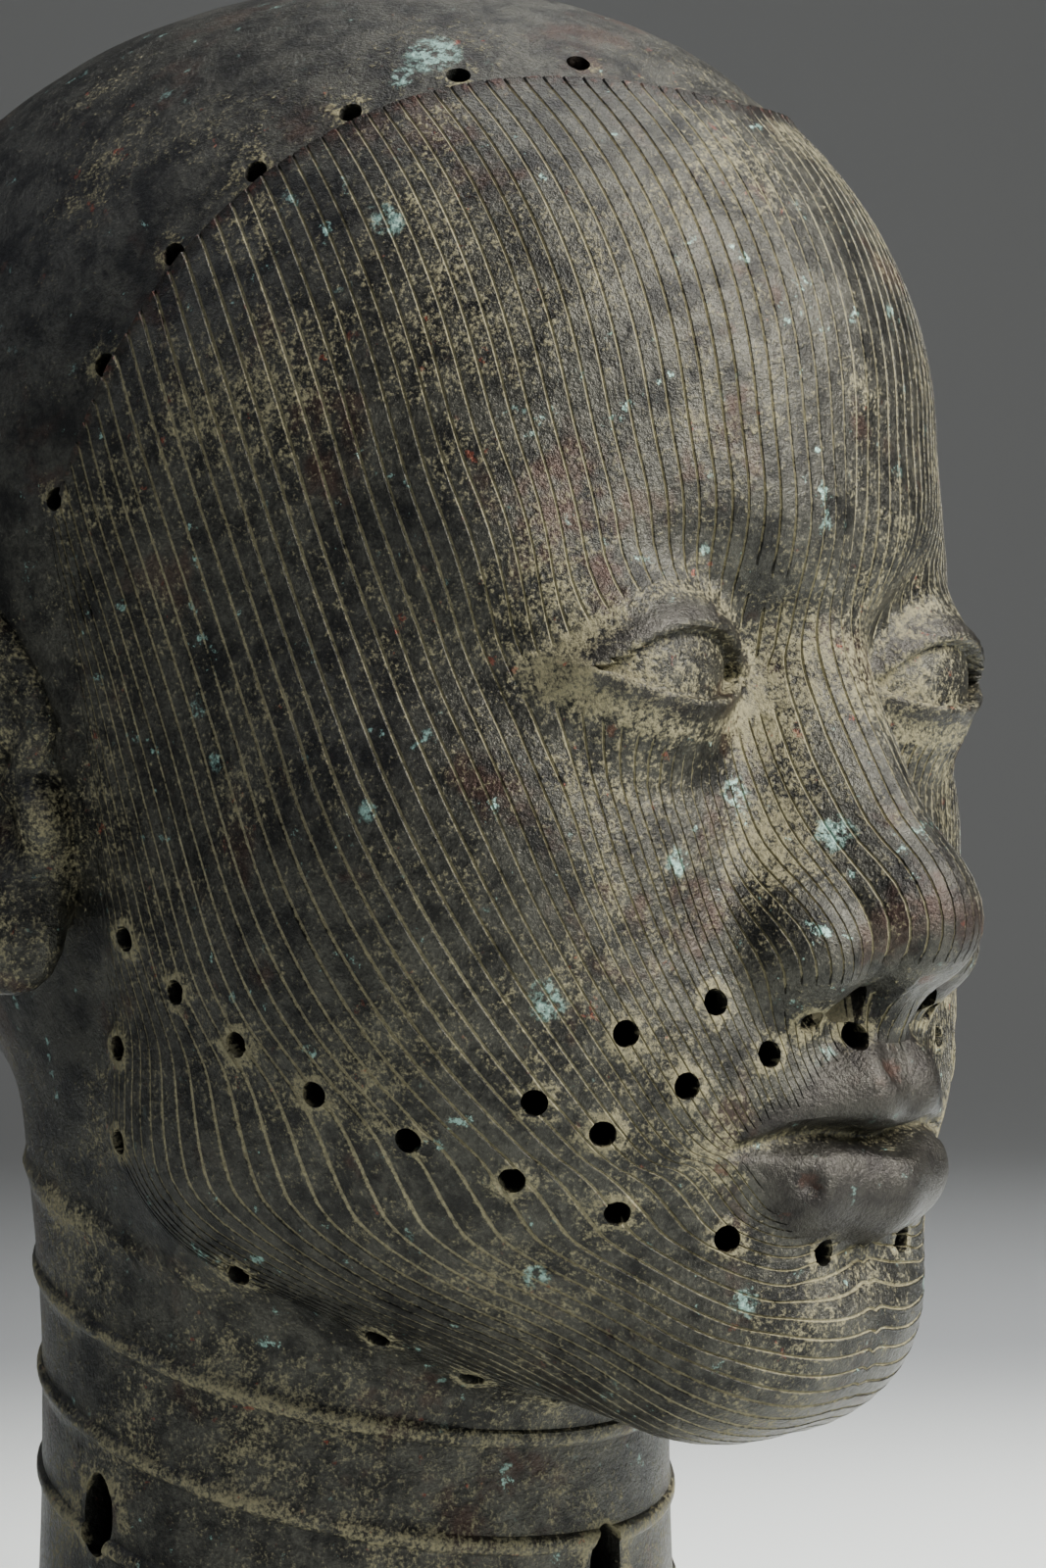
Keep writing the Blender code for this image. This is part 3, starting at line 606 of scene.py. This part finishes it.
def by_angle(angles, levels):
    """Places on both halves, by degrees round from the middle of the face and by height."""
    angles, levels = np.radians(np.concatenate([angles, -angles])), np.concatenate([levels, levels])
    rays = np.stack([np.sin(angles), -np.cos(angles), 0 * angles], -1)
    start = np.stack([0 * levels, 0 * levels, levels], -1)
    return reach_surface(plain_head, start, rays, np.full(len(rays), FAR))


def by_rib(ribs, side):
    """Places on both halves, by rib number and share of the way out."""
    return from_centre(face_rays(np.asarray(ribs, float), np.array([side, -side])), plain_head)


def beard_places():
    """Two rows of the moustache, the beard's row across the cheek and chin, and its row under the jaw."""
    beard = np.linspace(6, 84, BEARD_HOLES)
    places = [by_angle(beard, 25 + 50 * (beard / 90) ** 1.45)]
    places.append(by_angle(np.array((4, 13, 21, 28)), np.array((57, 55, 51, 44.5))))
    places.append(by_angle(np.array((9, 18, 26.5, 34)), np.array((59.5, 62.5, 58.5, 49))))
    places.append(by_rib((3.0, 1.95, 1.4, 0.95, 0.6, 0.3), 0.965))
    places.append(by_rib((0,), 0.965)[:1])
    return np.concatenate(places)


def hair_places():
    """Row just above the hairline."""
    sides = np.linspace(0.16, 0.96, HAIR_HOLES)
    return from_centre(face_rays(np.array([HAIR_RIB + 0.1]), np.concatenate([sides, -sides])), plain_head)


def nail_places():
    """One tall hole in each quarter of the neck: throat, nape and both sides."""
    angles = np.radians((0, 100, 180, 260))
    rays = np.stack([np.sin(angles), -np.cos(angles), 0 * angles], -1)
    level = BASE + NAIL_UP - NECK_LEAN * NECK_DEEP * np.cos(angles)
    return leave_form(plain_head, np.stack([0 * level, NECK_Y + 0 * level, level], -1), rays)


def wander(rows, columns, every_row, every_column, seed):
    """Smooth random values, -1 to 1, over a grid, which change over so many rows and columns."""
    coarse = np.random.default_rng(seed).uniform(-1, 1, (rows // every_row + 2, columns // every_column + 2))
    r, c = np.arange(rows) / every_row, np.arange(columns) / every_column
    i, j = r.astype(int), c.astype(int)
    u, v = rise(r - i, 0, 1)[:, None], rise(c - j, 0, 1)[None, :]
    near = coarse[i][:, j] * (1 - v) + coarse[i][:, j + 1] * v
    far = coarse[i + 1][:, j] * (1 - v) + coarse[i + 1][:, j + 1] * v
    return near * (1 - u) + far * u


def clear_of_eye(p):
    """0 on the eyes and the smooth band round them, 1 where the lines run."""
    x = np.abs(p[..., 0])
    upper, lower = lid_lines(x)[1:]
    away = np.maximum(p[..., 2] - upper - 5.0, lower - p[..., 2] - 5.5)
    away = np.maximum(away, np.abs(x - EYE[0]) - EYE_HALF - 4.0)
    return rise(away, -1.0, 1.0)


def near_places(p, places, mirrored=True):
    """Largest of the soft spots (x, y, z, radius) at each point, on both halves if mirrored."""
    x = np.abs(p[..., 0]) if mirrored else p[..., 0]
    best = np.zeros(x.shape)
    for px, py, pz, radius in places:
        gap = (x - px) ** 2 + (p[..., 1] - py) ** 2 + (p[..., 2] - pz) ** 2
        best = np.maximum(best, np.exp(-gap / radius ** 2))
    return best


def line_columns():
    """For each column of the face's mesh: its place by line number, -1 to 1, its shape and its fill."""
    place = np.concatenate([[0], (np.arange(LINES)[:, None] + LINE_COLUMNS).ravel(), [LINES]]) / LINES
    shape = np.array((0, *LINE_SHAPE * LINES, 0))
    fill = np.array((0, *LINE_FILL * LINES, 0))
    return [np.concatenate([sign * left[:0:-1], left]) for sign, left in ((-1, place), (1, shape), (1, fill))]


def on_lips(p):
    """1 on the lips and along the closed line between them, 0 away from them."""
    front = p[..., 1] < -60
    proud = rise(plain_head(p.reshape(-1, 3)).reshape(front.shape), 0.25, 0.9) * (p[..., 2] < 64) * front
    off_line = np.abs(p[..., 2] - mouth_line(p[..., 0])) / 7
    off_line = off_line + rise(np.abs(p[..., 0]), MOUTH_HALF - 5, MOUTH_HALF + 6)
    return np.maximum(proud, (1 - rise(off_line, 0.5, 1.0)) * front)


def face_marks(p, fill, lips, near_ledge):
    """The marks of the face: earth in the lines, at the eyes and between the lips, bare metal on the lips, on
    the lids and on the ledge, whose edge is rusty and dark: dark bare metal with a near-black painted shadow
    of the step over it."""
    x, z, front = np.abs(p[..., 0]), p[..., 2], p[..., 1] < -60
    upper, lower = lid_lines(x)[1:]
    lid = np.maximum(np.exp(-((z - upper - 0.9) / 1.7) ** 2), 0.7 * np.exp(-((z - lower + 0.7) / 1.1) ** 2))
    lid = lid * (1 - rise(np.abs(x - EYE[0]), 15.5, 18.5)) * (p[..., 1] < -50)
    parting = np.exp(-((z - mouth_line(x)) / 1.7) ** 2) * (1 - rise(x, MOUTH_HALF, MOUTH_HALF + 4)) * front
    bare = np.maximum(np.maximum(lips, lid), near_places(p, SHEEN_SPOTS))
    bare = np.maximum(bare * (1 - parting), 0.7 * near_ledge)
    ball = np.exp(-((x - EYE[0]) / 12) ** 4 - ((z - EYE[2] - 1) / 5.5) ** 2) * front
    earth = np.maximum((1 - clear_of_eye(p)) * (0.55 - 0.55 * ball), near_places(p, EARTH_SPOTS)) * (1 - bare)
    marks = np.zeros((*x.shape, len(MARKS)))
    marks[..., AT["line"]] = fill
    marks[..., AT["bare"]] = bare
    marks[..., AT["earth"]] = np.maximum(earth, 0.7 * parting)
    marks[..., AT["red"]] = near_ledge
    # Painted shadow: near-black along the face's edge at the hairline step
    marks[..., AT["inside"]] = 0.6 * near_ledge
    return marks


def worked_face():
    """Ribs, points and marks of the face with its incised lines, up to the top of the hairline's ledge, and
    the share of that ledge at each column."""
    rib = stepped(FACE_ROWS)
    line, shape, fill = line_columns()
    side = line_shares(rib, line)
    grid = side.shape
    p = on_face(rib, side).reshape(*grid, 3)
    lips = on_lips(p)
    step = np.linalg.norm(np.diff(p, axis=1), axis=-1)
    pitch = np.pad(step[:, :-2] + step[:, 1:-1] + step[:, 2:], ((0, 0), (1, 2)), "edge")
    clear = clear_of_eye(p) * (1 - lips) * (1 - rise(np.abs(side), 0.985, 0.997)) * rise(pitch, 0.7, 1.3)
    sway = np.repeat(wander(len(rib), 2 * LINES, 16, 2, 3), 3, axis=1)
    sway = np.insert(sway, (0, 3 * LINES, 6 * LINES), 0, axis=1) * clear * (1 - np.abs(side)) * WAVER
    sway = sway * rise(rib, 0, 0.5)[:, None]
    p = p + sway[..., None] * unit(np.gradient(p, axis=1) + vec(1e-9, 0, 0))
    outward = slope(head, p.reshape(-1, 3), 1.2).reshape(*grid, 3)
    under_nose = (outward[..., 2] < -0.5) & (p[..., 1] < -86) & (p[..., 2] > 52)
    clear = clear * ~under_nose
    cut = shape * clear * (1 + 0.4 * wander(*grid, 9, 5, 4))
    hairline = 1 - rise(np.abs(side), 0.93, 0.985)
    near_ledge = np.exp(-((rib - HAIR_RIB) / 0.03) ** 2)[:, None] * hairline
    marks = face_marks(p, fill * clear, lips, near_ledge)
    lift = LINE_DEEP * cut + LEDGE_LIP * near_ledge - PIT_DEEP * near_places(p, PITS[:2], mirrored=False)
    p = p + outward * lift[..., None]
    p[0] = (p[0] + p[0, ::-1]) / 2
    p[0, :, 0] = 0
    marks[0] = (marks[0] + marks[0, ::-1]) / 2
    return rib, p, marks, hairline[-1]


def neck_marks(p):
    """How far the neck stands out at its raised rings, 0 to 1."""
    turned = np.abs(np.arctan2(p[..., 0], NECK_Y - p[..., 1]))
    best = np.zeros(turned.shape)
    for number in (1, 2, 3, 4):
        off = (p[..., 2] - ring_level(p[..., 1], number)) / RING_HALF
        bump = np.sqrt(np.clip(1 - off ** 2, 0, 1))
        if number == 1:
            bump = bump * rise(turned, FIRST_RING_END - 0.02, FIRST_RING_END + 0.02)
        best = np.maximum(best, bump)
    return best


def whole_skin():
    """Points, faces and marks of the whole outside, closed at the cut end."""
    rib, face, marks, hairline = worked_face()
    number = np.arange(face[..., 0].size).reshape(face.shape[:2])
    points, all_marks, faces = [face.reshape(-1, 3)], [marks.reshape(-1, len(MARKS))], strip(number)
    used = number.size

    behind = np.flatnonzero(rib >= CORNER_RIB)
    nape = from_centre(nape_rays(np.linspace(1, -1, NAPE_COLUMNS + 1)[1:-1]), plain_head)
    nape_number = np.arange(used, used + len(nape))
    points.append(nape)
    all_marks.append(np.zeros((len(nape), len(MARKS))))
    used += len(nape)
    ring = np.concatenate([number[-1], number[behind[-2::-1], -1], nape_number, number[behind[:-1], 0]])
    edge = unit(np.concatenate(points)[ring] - CENTRE)
    at_hair = np.pad(hairline, (0, len(ring) - len(hairline)))
    for share, thin in CAP_RINGS:
        count = len(edge) // thin
        pick = [round(j * len(edge) / count) for j in range(count)]
        p = from_centre(turn(edge[pick], POLE, np.full(count, share)), plain_head)
        drop = LEDGE * at_hair[pick] * (1 - rise(share, 0, LEDGE_SHARE))
        points.append(p - slope(plain_head, p, 2.0) * drop[:, None])
        mark = np.zeros((count, len(MARKS)))
        mark[:, AT["cap"]] = np.maximum(at_hair[pick], rise(share, 0.0, 0.06))
        # Painted shadow: the cap's first ring, at the foot of the hairline step, is near-black
        mark[:, AT["inside"]] = 0.85 * at_hair[pick] * (share < 0.01)
        all_marks.append(mark)
        inner = np.arange(used, used + count)
        if count < len(ring):
            faces += fan(ring, inner)
        else:
            faces += strip(np.array([np.append(ring, ring[0]), np.append(inner, inner[0])]))
        ring = inner
        used += count
    faces.append(ring.tolist())

    jaw = np.flatnonzero(rib <= CORNER_RIB)
    loop = np.concatenate([number[jaw, -1], nape_number, number[jaw[:0:-1], 0]])
    rows = neck_points(np.concatenate(points)[loop])
    bump = neck_marks(rows)
    outward = slope(neck, half(rows.reshape(-1, 3)), 1.0).reshape(rows.shape)
    outward[..., 0] *= np.sign(rows[..., 0])
    outward[..., 2] = 0
    mark = np.zeros((*bump.shape, len(MARKS)))
    mark[..., AT["ring"]] = bump
    points.append((rows + outward * (RING_PROUD * bump)[..., None]).reshape(-1, 3))
    all_marks.append(mark.reshape(-1, len(MARKS)))
    numbers = np.concatenate([[loop], np.arange(used, used + bump.size).reshape(bump.shape)])
    faces += strip(np.concatenate([numbers, numbers[:, :1]], 1))
    faces.append(numbers[-1].tolist())
    return np.concatenate(points), faces, np.concatenate(all_marks)


def closed_mesh(name, points, faces):
    """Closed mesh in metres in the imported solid's frame, with its faces pointing out."""
    mesh = bpy.data.meshes.new(name)
    work = bmesh.new()
    verts = [work.verts.new(p) for p in to_frame(points)]
    for face in faces:
        corners = list(dict.fromkeys(verts[i] for i in face))
        if len(corners) > 2:
            work.faces.new(corners)
    bmesh.ops.remove_doubles(work, verts=work.verts, dist=0.000001)
    bmesh.ops.recalc_face_normals(work, faces=work.faces)
    work.to_mesh(mesh)
    work.free()
    return mesh


def add_object(name, mesh):
    item = bpy.data.objects.new(name, mesh)
    bpy.context.scene.collection.objects.link(item)
    return item


def as_mesh(item):
    """The object's mesh with its modifiers worked in."""
    graph = bpy.context.evaluated_depsgraph_get()
    return bpy.data.meshes.new_from_object(item.evaluated_get(graph), depsgraph=graph)


def discard(item):
    bpy.data.objects.remove(item, do_unlink=True)


def put(tree, kind, inputs=(), **settings):
    """Adds a node with its settings; inputs pairs each socket with a value or with another node's output."""
    item = tree.nodes.new(kind)
    for name, value in settings.items():
        setattr(item, name, value)
    for socket, value in dict(inputs).items():
        if isinstance(value, bpy.types.NodeSocket):
            tree.links.new(value, item.inputs[socket])
        else:
            item.inputs[socket].default_value = value
    return item


def from_hex(code):
    """Linear colour of an sRGB hex value."""
    parts = [int(code[i:i + 2], 16) / 255 for i in (1, 3, 5)]
    return [c / 12.92 if c <= 0.04045 else ((c + 0.055) / 1.055) ** 2.4 for c in parts] + [1.0]


def perforation_tree():
    """Tree that puts one bar through the wall at each point, along the point's own direction and size."""
    tree = bpy.data.node_groups.new("perforations", "GeometryNodeTree")
    for name, way, kind in (("Geometry", "INPUT", "Geometry"), ("Sides", "INPUT", "Int"),
                            ("Finish", "INPUT", "Material"), ("Geometry", "OUTPUT", "Geometry")):
        tree.interface.new_socket(name, in_out=way, socket_type="NodeSocket" + kind)
    given = put(tree, "NodeGroupInput")
    bar = put(tree, "GeometryNodeMeshCylinder", {
        "Vertices": given.outputs["Sides"], "Radius": 0.5, "Depth": 1.0}, fill_type="NGON")
    turned = put(tree, "GeometryNodeInputNamedAttribute", {"Name": "turned"}, data_type="FLOAT_VECTOR")
    bore = put(tree, "GeometryNodeInputNamedAttribute", {"Name": "bore"}, data_type="FLOAT_VECTOR")
    points = put(tree, "GeometryNodeMeshToPoints", {"Mesh": given.outputs["Geometry"]})
    placed = put(tree, "GeometryNodeInstanceOnPoints", {
        "Points": points.outputs[0], "Instance": bar.outputs["Mesh"], "Rotation": turned.outputs[0],
        "Scale": bore.outputs[0]})
    real = put(tree, "GeometryNodeRealizeInstances", {0: placed.outputs[0]})
    finished = put(tree, "GeometryNodeSetMaterial", {
        "Geometry": real.outputs[0], "Material": given.outputs["Finish"]})
    put(tree, "NodeGroupOutput", {0: finished.outputs[0]})
    return tree


def perforations(holes, finish):
    """Mesh of the bars that cut holes; each hole is a place, a direction, a width, a height and a depth."""
    mesh = bpy.data.meshes.new("perforations")
    mesh.from_pydata([list(to_frame(at)) for at, out, wide, tall, deep in holes], [], [])
    turned = mesh.attributes.new("turned", "FLOAT_VECTOR", "POINT")
    bore = mesh.attributes.new("bore", "FLOAT_VECTOR", "POINT")
    for i, (at, out, wide, tall, deep) in enumerate(holes):
        turned.data[i].vector = Vector(out).to_track_quat("Z", "Y").to_euler()
        bore.data[i].vector = (wide * MM, tall * MM, deep * MM)
    item = add_object("perforations", mesh)
    maker = item.modifiers.new("bars", "NODES")
    maker.node_group = perforation_tree()
    for entry in maker.node_group.interface.items_tree:
        if entry.in_out == "INPUT" and entry.name != "Geometry":
            maker[entry.identifier] = {"Sides": BAR_SIDES, "Finish": finish}[entry.name]
    made = as_mesh(item)
    discard(item)
    return made


def holes_of_casting():
    """Place, direction, width, height and depth of every hole, the two nostrils last."""
    holes = []
    rows = ((hair_places(), HAIR_HOLE, HAIR_HOLE), (beard_places(), BEARD_HOLE, BEARD_HOLE),
            (nail_places(), NAIL_HOLE, NAIL_HOLE_TALL))
    for places, wide, tall in rows:
        for at, out in zip(places, slope(plain_head, places, 6.0)):
            holes.append((at + out * (PROUD - HOLE_DEEP) / 2, out, wide, tall, PROUD + HOLE_DEEP))
    for sign in (1, -1):
        out = unit(vec(0.2 * sign, -0.3, -0.9))
        at = vec(9.5 * sign, -97, 62.5) + out * (PROUD - NOSTRIL_DEEP) / 2
        holes.append((at, out, NOSTRIL, 0.8 * NOSTRIL, PROUD + NOSTRIL_DEEP))
    return holes


def rim_share(points, holes):
    """1 on the soft lip round each hole but the nostrils, 0 away from it."""
    share = np.zeros(len(points))
    for at, out, wide, tall, deep in holes[:-2]:
        near = np.flatnonzero(np.abs(points - at).max(axis=1) < 12)
        across = points[near] - at
        across = across - (across @ out)[:, None] * out
        gap = np.linalg.norm(across, axis=1) - (wide + tall) / 4
        share[near] = np.maximum(share[near], np.exp(-((gap - 0.5) / 0.9) ** 2))
    return share


def cast_head(finish):
    """The finished casting as one object: skin, ears, inside and holes, with its marks as attributes."""
    points, faces, marks = whole_skin()
    holes = holes_of_casting()
    rims = rim_share(points, holes)
    points = points + slope(plain_head, points, 2.0) * HOLE_RIM * rims[:, None]
    marks[:, AT["earth"]] = np.maximum(marks[:, AT["earth"]], rims)
    skin = add_object("cast_head", closed_mesh("cast_head", points, faces))
    ears = [ear_points(side) for side in (1, -1)]
    tools = [(add_object("ear", closed_mesh("ear", *ear)), "UNION") for ear in ears]
    tools.append((add_object("inside", closed_mesh("inside", *cavity())), "DIFFERENCE"))
    for group in (holes[:-2], holes[-2:]):
        tools.append((add_object("bars", perforations(group, finish)), "DIFFERENCE"))
    for tool, operation in tools:
        cut = skin.modifiers.new(tool.name, "BOOLEAN")
        cut.object, cut.operation, cut.solver = tool, operation, "EXACT"
    mesh = as_mesh(skin)
    for tool, operation in tools:
        discard(tool)
    discard(skin)

    known = np.concatenate([points] + [ear[0] for ear in ears])
    on_ear = [EAR_EARTH * (name == "earth") for name in MARKS]
    marks = np.concatenate([marks, np.tile(on_ear, (len(known) - len(points), 1))])
    tree = kdtree.KDTree(len(known))
    for i, p in enumerate(to_frame(known)):
        tree.insert(p, i)
    tree.balance()
    found = [tree.find(v.co) for v in mesh.vertices]
    at = np.array([hit[1] for hit in found])
    far = np.array([hit[2] for hit in found]) > MARK_REACH * MM
    # Points away from the skin built here, on the inside and on the holes' walls, take the inside mark:
    # near-black painted shade of the hollow
    values = np.where(far[:, None], np.array([name == "inside" for name in MARKS], float), marks[at])
    for name, column in AT.items():
        layer = mesh.attributes.new(name, "FLOAT", "POINT")
        layer.data.foreach_set("value", np.ascontiguousarray(values[:, column], np.float32))
    mesh.name = "cast_head"
    mesh.materials.clear()
    mesh.materials.append(finish)
    mesh.shade_smooth()
    mesh.set_sharp_from_angle(angle=SHARP_ANGLE)
    return add_object("cast_head", mesh)


def new_material(name):
    """A material, its node tree and shader, and each point's place on the object."""
    finish = bpy.data.materials.new(name)
    finish.use_nodes = True
    tree = finish.node_tree
    return finish, tree, tree.nodes["Principled BSDF"], put(tree, "ShaderNodeTexCoord").outputs["Object"]


def aged_bronze():
    """Leaded bronze, cast over a core and long buried: a dark brown-black skin, smooth and half glossy where
    it is worn, with khaki earth dried in every line and hollow, and spots of red and turquoise corrosion."""
    finish, tree, shader, place = new_material("cast_bronze_with_buried_patina")

    def mottle(size, detail=4.0, rough=0.55, seed=0.0):
        """Noise whose patches are about size millimetres across."""
        moved = put(tree, "ShaderNodeMapping", {"Vector": place, "Location": (seed, 0.37 * seed, -seed)})
        noise = {"Vector": moved.outputs[0], "Scale": 1.0 / MM / size, "Detail": detail, "Roughness": rough}
        return put(tree, "ShaderNodeTexNoise", noise).outputs["Fac"]

    def above(value, low, high):
        """0 below low, 1 above high."""
        return put(tree, "ShaderNodeMapRange", {"Value": value, "From Min": low, "From Max": high},
                   interpolation_type="SMOOTHSTEP").outputs[0]

    def calc(operation, a, b, c=0.0, clamp=True):
        values = {0: a, 1: b, 2: c}
        return put(tree, "ShaderNodeMath", values, operation=operation, use_clamp=clamp).outputs[0]

    def times(a, b):
        return calc("MULTIPLY", a, b)

    def shift(operation, *vectors):
        return put(tree, "ShaderNodeVectorMath", dict(enumerate(vectors)), operation=operation).outputs

    def paint(under, over, share):
        layers = {"Factor": share, "A": under, "B": over}
        return put(tree, "ShaderNodeMix", layers, data_type="RGBA").outputs[2]

    def mark(name):
        return put(tree, "ShaderNodeAttribute", attribute_name=name).outputs["Fac"]

    line, cap, bare, earth, ring, red, inside = (mark(name) for name in MARKS)
    grain = mottle(0.6, 3.0, 0.7)
    speck = mottle(1.7, 5.0, 0.72, 2.0)
    patch = mottle(26.0, 3.0, 0.6, 5.0)
    cloud = mottle(7.0, 5.0, 0.75, 1.0)
    noise = {"Vector": place, "Scale": 280.0, "Detail": 4.0, "Roughness": 0.8}
    ragged = put(tree, "ShaderNodeTexNoise", noise).outputs["Color"]
    stray = 0.0055
    moved = shift("SUBTRACT", shift("MULTIPLY_ADD", ragged, [stray] * 3, place)[0], [stray / 2] * 3)[0]

    def spots(places):
        """1 at the middle of each ragged spot (x, y, z, radius in the form's millimetres), 0 outside it."""
        share = None
        for *at, radius in places:
            gap = shift("DISTANCE", moved, to_frame(at))["Value"]
            spot = above(gap, 1.1 * radius * MM, 0.6 * radius * MM)
            share = spot if share is None else calc("MAXIMUM", share, spot)
        return share

    # Skin: black and grey clouds with a little brown
    skin = paint(from_hex(DARK_SKIN), from_hex(GREY_SKIN), above(cloud, 0.36, 0.64))
    rusty = times(above(mottle(19.0, 4.0, 0.7, 3.0), 0.56, 0.68), 0.4)
    skin = paint(skin, from_hex(BROWN_SKIN), rusty)

    # Earth: specks of it everywhere, and most of it where the marks say that it has stayed
    thick = times(above(patch, 0.35, 0.8), 0.1)
    filled = times(above(line, 0.35, 0.9), above(cloud, 0.2, 0.5))
    shares = ((cap, -0.03), (earth, 0.12), (ring, 0.06), (filled, 0.26), (bare, -0.06), (inside, -0.3))
    for where, share in shares:
        thick = calc("MULTIPLY_ADD", where, share, thick, clamp=False)
    dusty = calc("ADD", times(speck, 0.35), times(grain, 0.35), clamp=False)
    dust = above(calc("ADD", dusty, thick, clamp=False), 0.39, 0.5)
    packed = paint(from_hex(EARTH), from_hex(LINE_EARTH), filled)
    colour = paint(skin, packed, dust)

    # Corrosion: red cuprite, pale turquoise crusts and rusty pits
    cuprite = times(above(mottle(3.2, 4.0, 0.7, 8.0), 0.65, 0.70), above(patch, 0.46, 0.6))
    rust = times(times(red, 0.6), above(speck, 0.5, 0.62))
    cuprite = times(calc("MAXIMUM", cuprite, rust), 0.7)
    colour = paint(colour, from_hex(CUPRITE), cuprite)
    green = times(above(mottle(4.5, 5.0, 0.75, 12.0), 0.62, 0.68), above(patch, 0.52, 0.42))
    crust = times(spots(CRUSTS), above(speck, 0.44, 0.58))
    colour = paint(colour, from_hex(TURQUOISE), times(calc("MAXIMUM", green, crust), 0.75))
    colour = paint(colour, from_hex(PIT_RUST), times(spots(PITS), 0.8))

    # Last: a fine dark grain, bare metal where it is worn, and the near-black painted shade of the inside
    # mark, which lies in the hollow, on the holes' walls and along the hairline's step
    shade = above(grain, 0.3, 0.7)
    colour = paint(colour, paint(from_hex(GRAIN_SHADE), colour, shade), 0.5)
    worn = times(bare, calc("SUBTRACT", 0.75, times(speck, 0.6)))
    colour = paint(colour, from_hex(BARE_SKIN), worn)
    # Painted shade: near-black wherever the inside mark lies
    colour = paint(colour, from_hex(PAINTED_SHADE_BLACK), inside)
    tree.links.new(colour, shader.inputs["Base Color"])
    tree.links.new(calc("SUBTRACT", 0.7, times(dust, 0.7)), shader.inputs["Metallic"])
    rough = calc("ADD", times(dust, 0.4), times(shade, 0.14))
    rough = calc("ADD", rough, calc("MULTIPLY_ADD", cap, 0.16, calc("MULTIPLY_ADD", bare, 0.03, 0.29)))
    tree.links.new(rough, shader.inputs["Roughness"])
    height = calc("ADD", times(grain, 0.5), times(speck, 0.8), clamp=False)
    bump = put(tree, "ShaderNodeBump", {"Height": height, "Strength": 0.85, "Distance": 0.0005})
    tree.links.new(bump.outputs[0], shader.inputs["Normal"])
    return finish


def paper_with_painted_falloff():
    """Backdrop paper, pale round the head and painted darker to a mid grey behind it as a painted falloff of
    the light, and quite matt.
    """
    finish, tree, shader, place = new_material("graded_backdrop_paper")
    # Painted shade: the further behind the head, the more the paper turns from pale to grey
    behind = put(tree, "ShaderNodeVectorMath", {0: place, 1: VIEW}, operation="DOT_PRODUCT").outputs["Value"]
    share = put(tree, "ShaderNodeMapRange", {"Value": behind, "From Min": 0.07, "From Max": 0.48},
                interpolation_type="SMOOTHSTEP").outputs[0]
    tint = put(tree, "ShaderNodeMix", {"Factor": share, "A": from_hex(PALE_PAPER), "B": from_hex(PAPER_PAINTED_SHADE)},
               data_type="RGBA")
    tree.links.new(tint.outputs[2], shader.inputs["Base Color"])
    shader.inputs["Roughness"].default_value = 0.85
    return finish


def stage():
    """Pale floor that curves up to a back wall behind the head."""
    profile = [(SWEEP_FRONT, 0.0), (SWEEP_BACK, 0.0)]
    for a in np.radians(np.arange(5, 91, 5)):
        profile.append((SWEEP_BACK + SWEEP_BEND * math.sin(a), SWEEP_BEND - SWEEP_BEND * math.cos(a)))
    profile.append((SWEEP_BACK + SWEEP_BEND, SWEEP_TOP))
    points = []
    for along, up in profile:
        for across in (-SWEEP_HALF, SWEEP_HALF):
            points.append(tuple(VIEW * along + VIEW_RIGHT * across + vec(0, 0, up)))
    mesh = bpy.data.meshes.new("studio_sweep")
    mesh.from_pydata(points, [], [(2 * i, 2 * i + 1, 2 * i + 3, 2 * i + 2) for i in range(len(profile) - 1)])
    mesh.shade_smooth()
    mesh.materials.append(paper_with_painted_falloff())
    return add_object("studio_sweep", mesh)


def soft_light(name, at, power, size, colour, down=False):
    """Square soft box that faces the head, or straight down."""
    data = bpy.data.lights.new(name, "AREA")
    data.energy, data.size, data.color = power, size, from_hex(colour)[:3]
    data.spread = DOWN_SPREAD if down else math.pi
    lamp = add_object(name, data)
    lamp.location = at
    to = Vector((0, 0, -1)) if down else Vector(HEAD_MIDDLE) - Vector(at)
    lamp.rotation_euler = to.to_track_quat("-Z", "Y").to_euler()


def lights_and_camera():
    for name, (right, behind, up), power, size, colour in LIGHTS:
        at = vec(*HEAD_MIDDLE) + VIEW_RIGHT * right + VIEW * behind + vec(0, 0, up)
        soft_light(name, at, power, size, colour, down=name == "floor")
    world = bpy.data.worlds.new("studio")
    world.use_nodes = True
    background = world.node_tree.nodes["Background"]
    background.inputs["Color"].default_value = from_hex(STUDIO_GREY)
    background.inputs["Strength"].default_value = ROOM_LIGHT
    bpy.context.scene.world = world
    data = bpy.data.cameras.new("camera")
    data.sensor_fit, data.sensor_height, data.lens = "VERTICAL", 36.0, LENS
    camera = add_object("camera", data)
    axis = to_frame(vec(0, NECK_Y, CAMERA_UP))
    stands = axis - VIEW * CAMERA_FAR
    looks = axis + VIEW_RIGHT * CAMERA_ASIDE
    camera.location = stands
    camera.rotation_euler = (Vector(looks) - Vector(stands)).to_track_quat("-Z", "Y").to_euler()
    bpy.context.scene.camera = camera


finish = aged_bronze()
head_piece = cast_head(finish)
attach(head_piece, "root")
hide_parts("head")
stage()
lights_and_camera()
